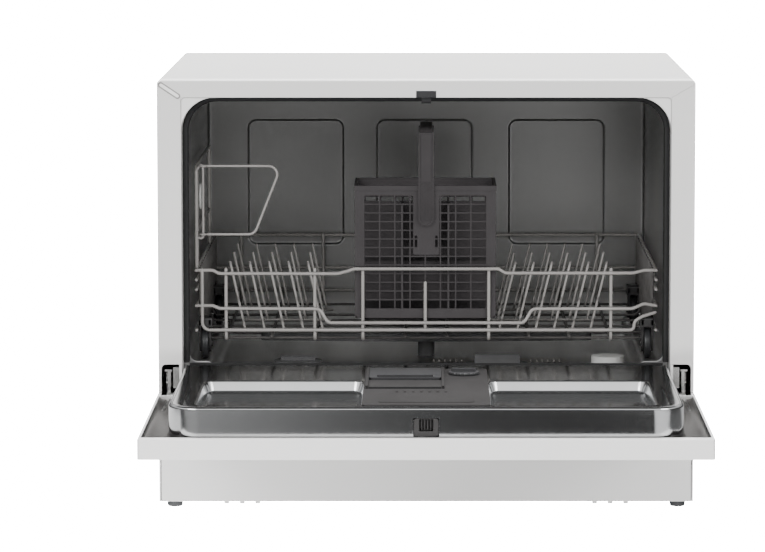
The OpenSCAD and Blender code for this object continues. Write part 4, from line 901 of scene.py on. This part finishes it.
for x in (cx0, cx1 - wall):
    cutlery.append(plate(short_wall, x / 1000, (x + wall) / 1000, "x"))
    cutlery += ribs(gy0, gy1, 5, x + 0.2, x + wall - 0.2, False)
proud, bead, lip = 0.7, 5.0, wall + 0.2
for y in (cy0 - proud, cy1 - lip):
    cutlery.append(block(cx0 - proud, y, cz1 - bead, cx1 + proud, y + lip + proud, cz1 + 0.3))
for x in (cx0 - proud, cx1 - lip):
    cutlery.append(block(x, cy0 - proud + 0.1, cz1 - bead - 0.1, x + lip + proud,
                         cy1 + proud - 0.1, cz1 + 0.2))
cutlery.append(block(cx0 + 1, cy0 + 1, cz0 + 0.2, cx1 - 1, cy1 - 1, cz0 + 2.2))
cutlery += [block(x, cy0 + 1.2, cz0 + 1, x + 2, cy1 - 1.2, cz1 - 20) for x in (-26.0, 22.0)]
cutlery.append(block(cx0 + 1.5, 99.6, cz0 + 1, cx1 - 1.5, 101.6, cz1 - 20))
piece("cutlery_grille", join(*cutlery), cutlery_look, "cutlery_plastic", "cutlery",
      ["cutlery_basket"], edge=0.0003)

strap_hw, strap_low, strap_high, leg_deep, bow_high = 8.0, 287.4, 384.0, 3.6, 388.8
strap_line, strap_inner = (
    rounded(box_line(-w, strap_low + inset, w, strap_high - inset) / 1000,
            [w / 1000 - 0.0001, w / 1000 - 0.0001, 0.0008, 0.0008])
    for inset, w in ((0, strap_hw), (1.5, strap_hw - 1.5)))
strap = []
for s, back in ((-1, cy0 - 0.3), (1, cy1 + 0.3)):
    mid, out = back + s * leg_deep / 2, back + s * leg_deep
    for loops, levels in (([strap_line, strap_inner], (out, mid)), ([strap_line], (mid, back))):
        strap.append(plate(loops, *(front + y / 1000 for y in sorted(levels))))
    near, far = sorted((mid, out + (mid - out) * 0.4))
    strap += [block(x - 0.5, near, strap_low + 5, x + 0.5, far, strap_low + 46)
              for x in (-3.0, 0.0, 3.0)]
bow_a, bow_b = cy0 - 0.3 - leg_deep + 1, cy1 + 0.3 + leg_deep - 1
bow_t, bow_low = 2.4, strap_high - 1.5
bow = np.array([(bow_a, bow_low), (bow_a, bow_high), (bow_b, bow_high), (bow_b, bow_low),
                (bow_b - bow_t, bow_low), (bow_b - bow_t, bow_high - bow_t),
                (bow_a + bow_t, bow_high - bow_t), (bow_a + bow_t, bow_low)])
strap.append(plate([rounded(bow / 1000 + (front, 0),
                            [0.0003, 0.013, 0.013, 0.0003, 0.0003, 0.0106, 0.0106, 0.0003], 9)],
                   -0.0062, 0.0062, "x"))
piece("cutlery_strap", join(*strap), cutlery_look, "cutlery_plastic", "cutlery",
      ["cutlery_handle"], edge=0.0004)

# ---- Wheels and their brackets ----
# Four moulded wheels run on steel pins between the cheeks of brackets that are clipped on
# the side wires.

wheel_look = finish("wheel_plastic", (0.014, 0.0145, 0.0155), 0.4, mottle=0.1, size=60,
                    bump=0.1, bump_size=900)
bracket_look = finish("black_plastic", (0.016, 0.0155, 0.0155), 0.45, mottle=0.1, size=50,
                      bump=0.1, bump_size=1200)
axle_z, wheel_x, wheel_front, wheel_rear = 0.1643, 0.226, front + 0.060, front + 0.352
tread = np.array([(0, 2.8), (0, 4.6), (0.5, 5), (1.9, 5.4), (1.9, 12.2), (0.6, 12.8), (0.1, 13.4),
                  (0, 14.6), (0.35, 15.3), (1.1, 15.8), (2.2, 16), (4.8, 16), (5.9, 15.8),
                  (6.65, 15.3), (7, 14.6), (6.9, 13.4), (6.4, 12.8), (5.1, 12.2), (5.1, 5.4),
                  (6.5, 5), (7, 4.6), (7, 2.8), (0, 2.8)]) / 1000


def lathe(side, y, profile, steps, **more):
    """A turned shape on one wheel's axle: its profile gives distances outwards from the
    wheel's inner face, and radii."""
    return stack([lift(circle(y, axle_z, r, steps), side * (wheel_x + x), 0)
                  for x, r in profile], flip=side > 0, **more)


for name, body, node, side, y in (
        ("left_front_wheel", "wheel_fl", "wheel_front_left", -1, wheel_front),
        ("right_front_wheel", "wheel_fr", "wheel_front_right", 1, wheel_front),
        ("left_rear_wheel", "wheel_rl", "wheel_rear_left", -1, wheel_rear),
        ("right_rear_wheel", "wheel_rr", "wheel_rear_right", 1, wheel_rear)):
    piece(name, lathe(side, y, tread, 48), wheel_look, "wheel_plastic", body, [node], crease=40)

cheek = rounded(np.array([(-8.4, -9), (8.4, -9), (9, 12), (11.5, 18), (11.5, 27.7), (-11.5, 27.7),
                          (-11.5, 18), (-9, 12)]), [7.5, 7.5, 8, 8, 2.5, 2.5, 8, 8], 6) / 1000
bridge = rounded(box_line(-11.5, 17.2, 11.5, 27.7), [1, 1, 2.5, 2.5], 5) / 1000
pin = [(-0.0040, 0.0030), (-0.0036, 0.0036), (-0.0026, 0.0038), (-0.0026, 0.0024),
       (0.0096, 0.0024)]
forks = []
for side in (-1, 1):
    for y in (wheel_front, wheel_rear):
        for line, x0, x1 in ((cheek, -0.0026, -0.0004), (cheek, 0.0074, 0.0096),
                             (bridge, -0.0040, 0.0096)):
            a, b = sorted((side * (wheel_x + x0), side * (wheel_x + x1)))
            forks.append(plate([line + (y, axle_z)], a, b, "x"))
        forks.append(lathe(side, y, pin, 20, caps=(True, True)))
piece("wheel_forks", join(*forks), bracket_look, "black_plastic", "basket",
      ["wheel_brackets"], edge=0.0005)

# ---- Parts that keep their shape ----
# The rest of the machine keeps the shape of its solids and gets the finish of its stuff:
# moulded plastics, plated steel, spring wire and cast housings.

# Each row holds a tone, roughness, metal, mottle and its size, bump and its size.
stuff = {"black_plastic": ((0.016, 0.016, 0.017), 0.52, 0.0, 0.1, 50, 0.1, 1200),
         "grey_plastic": ((0.10, 0.10, 0.102), 0.45, 0.0, 0.08, 45, 0.1, 1200),
         "pale_plastic": ((0.62, 0.62, 0.60), 0.48, 0.0, 0.05, 35, 0.1, 1100),
         "hinge_steel": ((0.72, 0.72, 0.71), 0.20, 1.0, 0.1, 70, 0.05, 500),
         "pump_metal": ((0.42, 0.43, 0.44), 0.4, 0.9, 0.12, 60, 0.12, 500),
         "heater_steel": ((0.48, 0.47, 0.45), 0.33, 1.0, 0.1, 50, 0.05, 400),
         "board_green": ((0.03, 0.16, 0.07), 0.4, 0.0, 0.25, 200, 0.1, 1500),
         "brass_fit": ((0.62, 0.47, 0.22), 0.32, 1.0, 0.1, 60, 0.05, 500),
         "button_plastic": ((0.45, 0.46, 0.47), 0.35, 0.0, 0.05, 60, 0.06, 1200),
         "wheel_plastic": ((0.03, 0.031, 0.033), 0.4, 0.0, 0.1, 60, 0.1, 900)}
looks = {slot: finish(slot, *row[:5], bump=row[5], bump_size=row[6])
         for slot, row in stuff.items()}
looks.update(spring_steel=spring_look, tub_steel=tub_steel, door_steel=door_steel)
for part in frame["record"]["subparts"]:
    if part["material_slot"] in looks:
        wear(part["node"], looks[part["material_slot"]])

# ---- Stage ----
# The floor shows flat white to the lens. To all other light it is a near-black sheet that
# glows in painted bands, which light the machine and show in its steel. A banded sky, four
# soft lamps and a long lens.


def ramp(tree, source, low, high, stops):
    """A smooth curve of a value: stops are places between low and high, and the value there."""
    span = feed(tree, "MapRange", {"Value": source, "From Min": low, "From Max": high})
    curve = feed(tree, "ValToRGB", {"Fac": span.outputs["Result"]})
    marks = curve.color_ramp.elements
    marks.remove(marks[1])
    for n, (place, value) in enumerate(stops):
        share = (place - low) / (high - low)
        mark = marks.new(share) if n else marks[0]
        mark.position = share
        mark.color = (value, value, value, 1)
    return curve.outputs["Color"]


def maths(tree, operation, a, b):
    """The result of a sum on two values."""
    made = feed(tree, "Math", {0: a, 1: b})
    made.operation = operation
    return made.outputs["Value"]


def seen(tree, near, far_value):
    """far_value where the lens looks straight at it, and near for all other light."""
    look = tree.nodes.new("ShaderNodeLightPath")
    return feed(tree, "Mix", {"Factor": look.outputs["Is Camera Ray"], "A": near,
                              "B": far_value}).outputs["Result"]


white, flat_white = 30.0, (1, 1, 1, 1)
floor_look = bpy.data.materials.new("floor_paper")
floor_look.use_nodes = True
paper = floor_look.node_tree
place = paper.nodes.new("ShaderNodeTexCoord").outputs["Object"]
cloud = feed(paper, "TexNoise", {"Vector": place, "Scale": 3}).outputs["Fac"]
spot = feed(paper, "SeparateXYZ", {"Vector": place}).outputs
# side, left and right shape the floor's glow into painted bands of light.
side = ramp(paper, spot["X"], -1.6, 1.6,
            ((-1.6, 0.08), (-1.4, 0.1), (-1.28, 0.6), (-0.5, 0.5), (-0.26, 0.42), (-0.2, 0.27),
             (-0.087, 0.13), (0.027, 0.045), (0.144, 0.02), (0.32, 0.0), (0.43, 1.4),
             (1.28, 1.5), (1.4, 0.1), (1.6, 0.08)))
left = ramp(paper, spot["Y"], -1.5, 1.0,
            ((-1.5, 1), (-1.0, 1), (-0.9, 0.2), (-0.68, 0.2), (-0.58, 3.0), (1.0, 3.0)))
right = ramp(paper, spot["Y"], -1.5, 1.0,
             ((-1.5, 1), (-0.85, 1), (-0.75, 0.12), (0.2, 0.12), (0.4, 0.5), (1.0, 0.5)))
depth = feed(paper, "Mix", {"Factor": maths(paper, "GREATER_THAN", spot["X"], 0), "A": left,
                            "B": right}).outputs["Result"]
painted_floor_glow = seen(paper, maths(paper, "MULTIPLY", side, depth), white)
feed(paper, paper.nodes["Principled BSDF"],
     {"Base Color": ramp(paper, cloud, 0, 1, ((0, 0.012), (1, 0.016))), "Specular IOR Level": 0,
      "Emission Color": flat_white, "Emission Strength": painted_floor_glow})
points, faces = stack([[(x, y, -0.0004) for x in (-6, 6)] for y in (-6, 6)], closed=False)
paper_mesh = bpy.data.meshes.new("studio_floor")
paper_mesh.from_pydata(points.tolist(), [], faces)
paper_mesh.materials.append(floor_look)
floor = bpy.data.objects.new("studio_floor", paper_mesh)
bpy.context.scene.collection.objects.link(floor)

for name, spot, target, width, height, power, shows in (
        ("key_lamp", (-1.8, -3.0, 1.7), (0, 0, 0.2), 1.6, 1.2, 60, True),
        ("fill_lamp", (2.2, -2.2, 1.4), (0, 0, 0.2), 1.4, 1.2, 40, True),
        ("top_lamp", (0, 0.4, 2.4), (0, 0.2, 0.2), 1.8, 1.4, 250, False),
        ("low_lamp", (0, -2.4, 0.055), (0, -0.4, 0.06), 2.6, 0.09, 75, False)):
    light = bpy.data.lights.new(name, "AREA")
    light.shape = "RECTANGLE"
    light.size, light.size_y, light.energy = width, height, power
    lamp = bpy.data.objects.new(name, light)
    lamp.location = spot
    lamp.rotation_euler = (Vector(target) - Vector(spot)).to_track_quat("-Z", "Y").to_euler()
    lamp.visible_glossy = shows
    bpy.context.scene.collection.objects.link(lamp)

studio = bpy.data.worlds.new("studio")
bpy.context.scene.world = studio
studio.use_nodes = True
sky = studio.node_tree
way = feed(sky, "SeparateXYZ",
           {"Vector": sky.nodes.new("ShaderNodeTexCoord").outputs["Generated"]}).outputs
rise = ramp(sky, way["Z"], 0, 1, ((0.0, 0.08), (0.12, 0.15), (0.24, 0.9), (0.36, 1.1),
                                  (0.44, 2.2), (0.58, 2.2), (0.68, 0.2), (1.0, 0.25)))
ahead = ramp(sky, way["Y"], -1, 1, ((-0.4, 1.0), (0.1, 0.45), (1.0, 0.45)))
feed(sky, sky.nodes["Background"],
     {"Color": flat_white, "Strength": seen(sky, maths(sky, "MULTIPLY", rise, ahead), white)})

picture, focal, shift = 765, 4195, -43.7      # in pixels
lens = bpy.data.cameras.new("lens")
lens.sensor_width = 36
lens.lens = focal / picture * lens.sensor_width
lens.shift_x = shift / picture
viewer = bpy.data.objects.new("viewer", lens)
viewer.location = (0, -4.355, 0.7136)
viewer.rotation_euler = (math.radians(90 - 6.32), 0, 0)
bpy.context.scene.collection.objects.link(viewer)
bpy.context.scene.camera = viewer
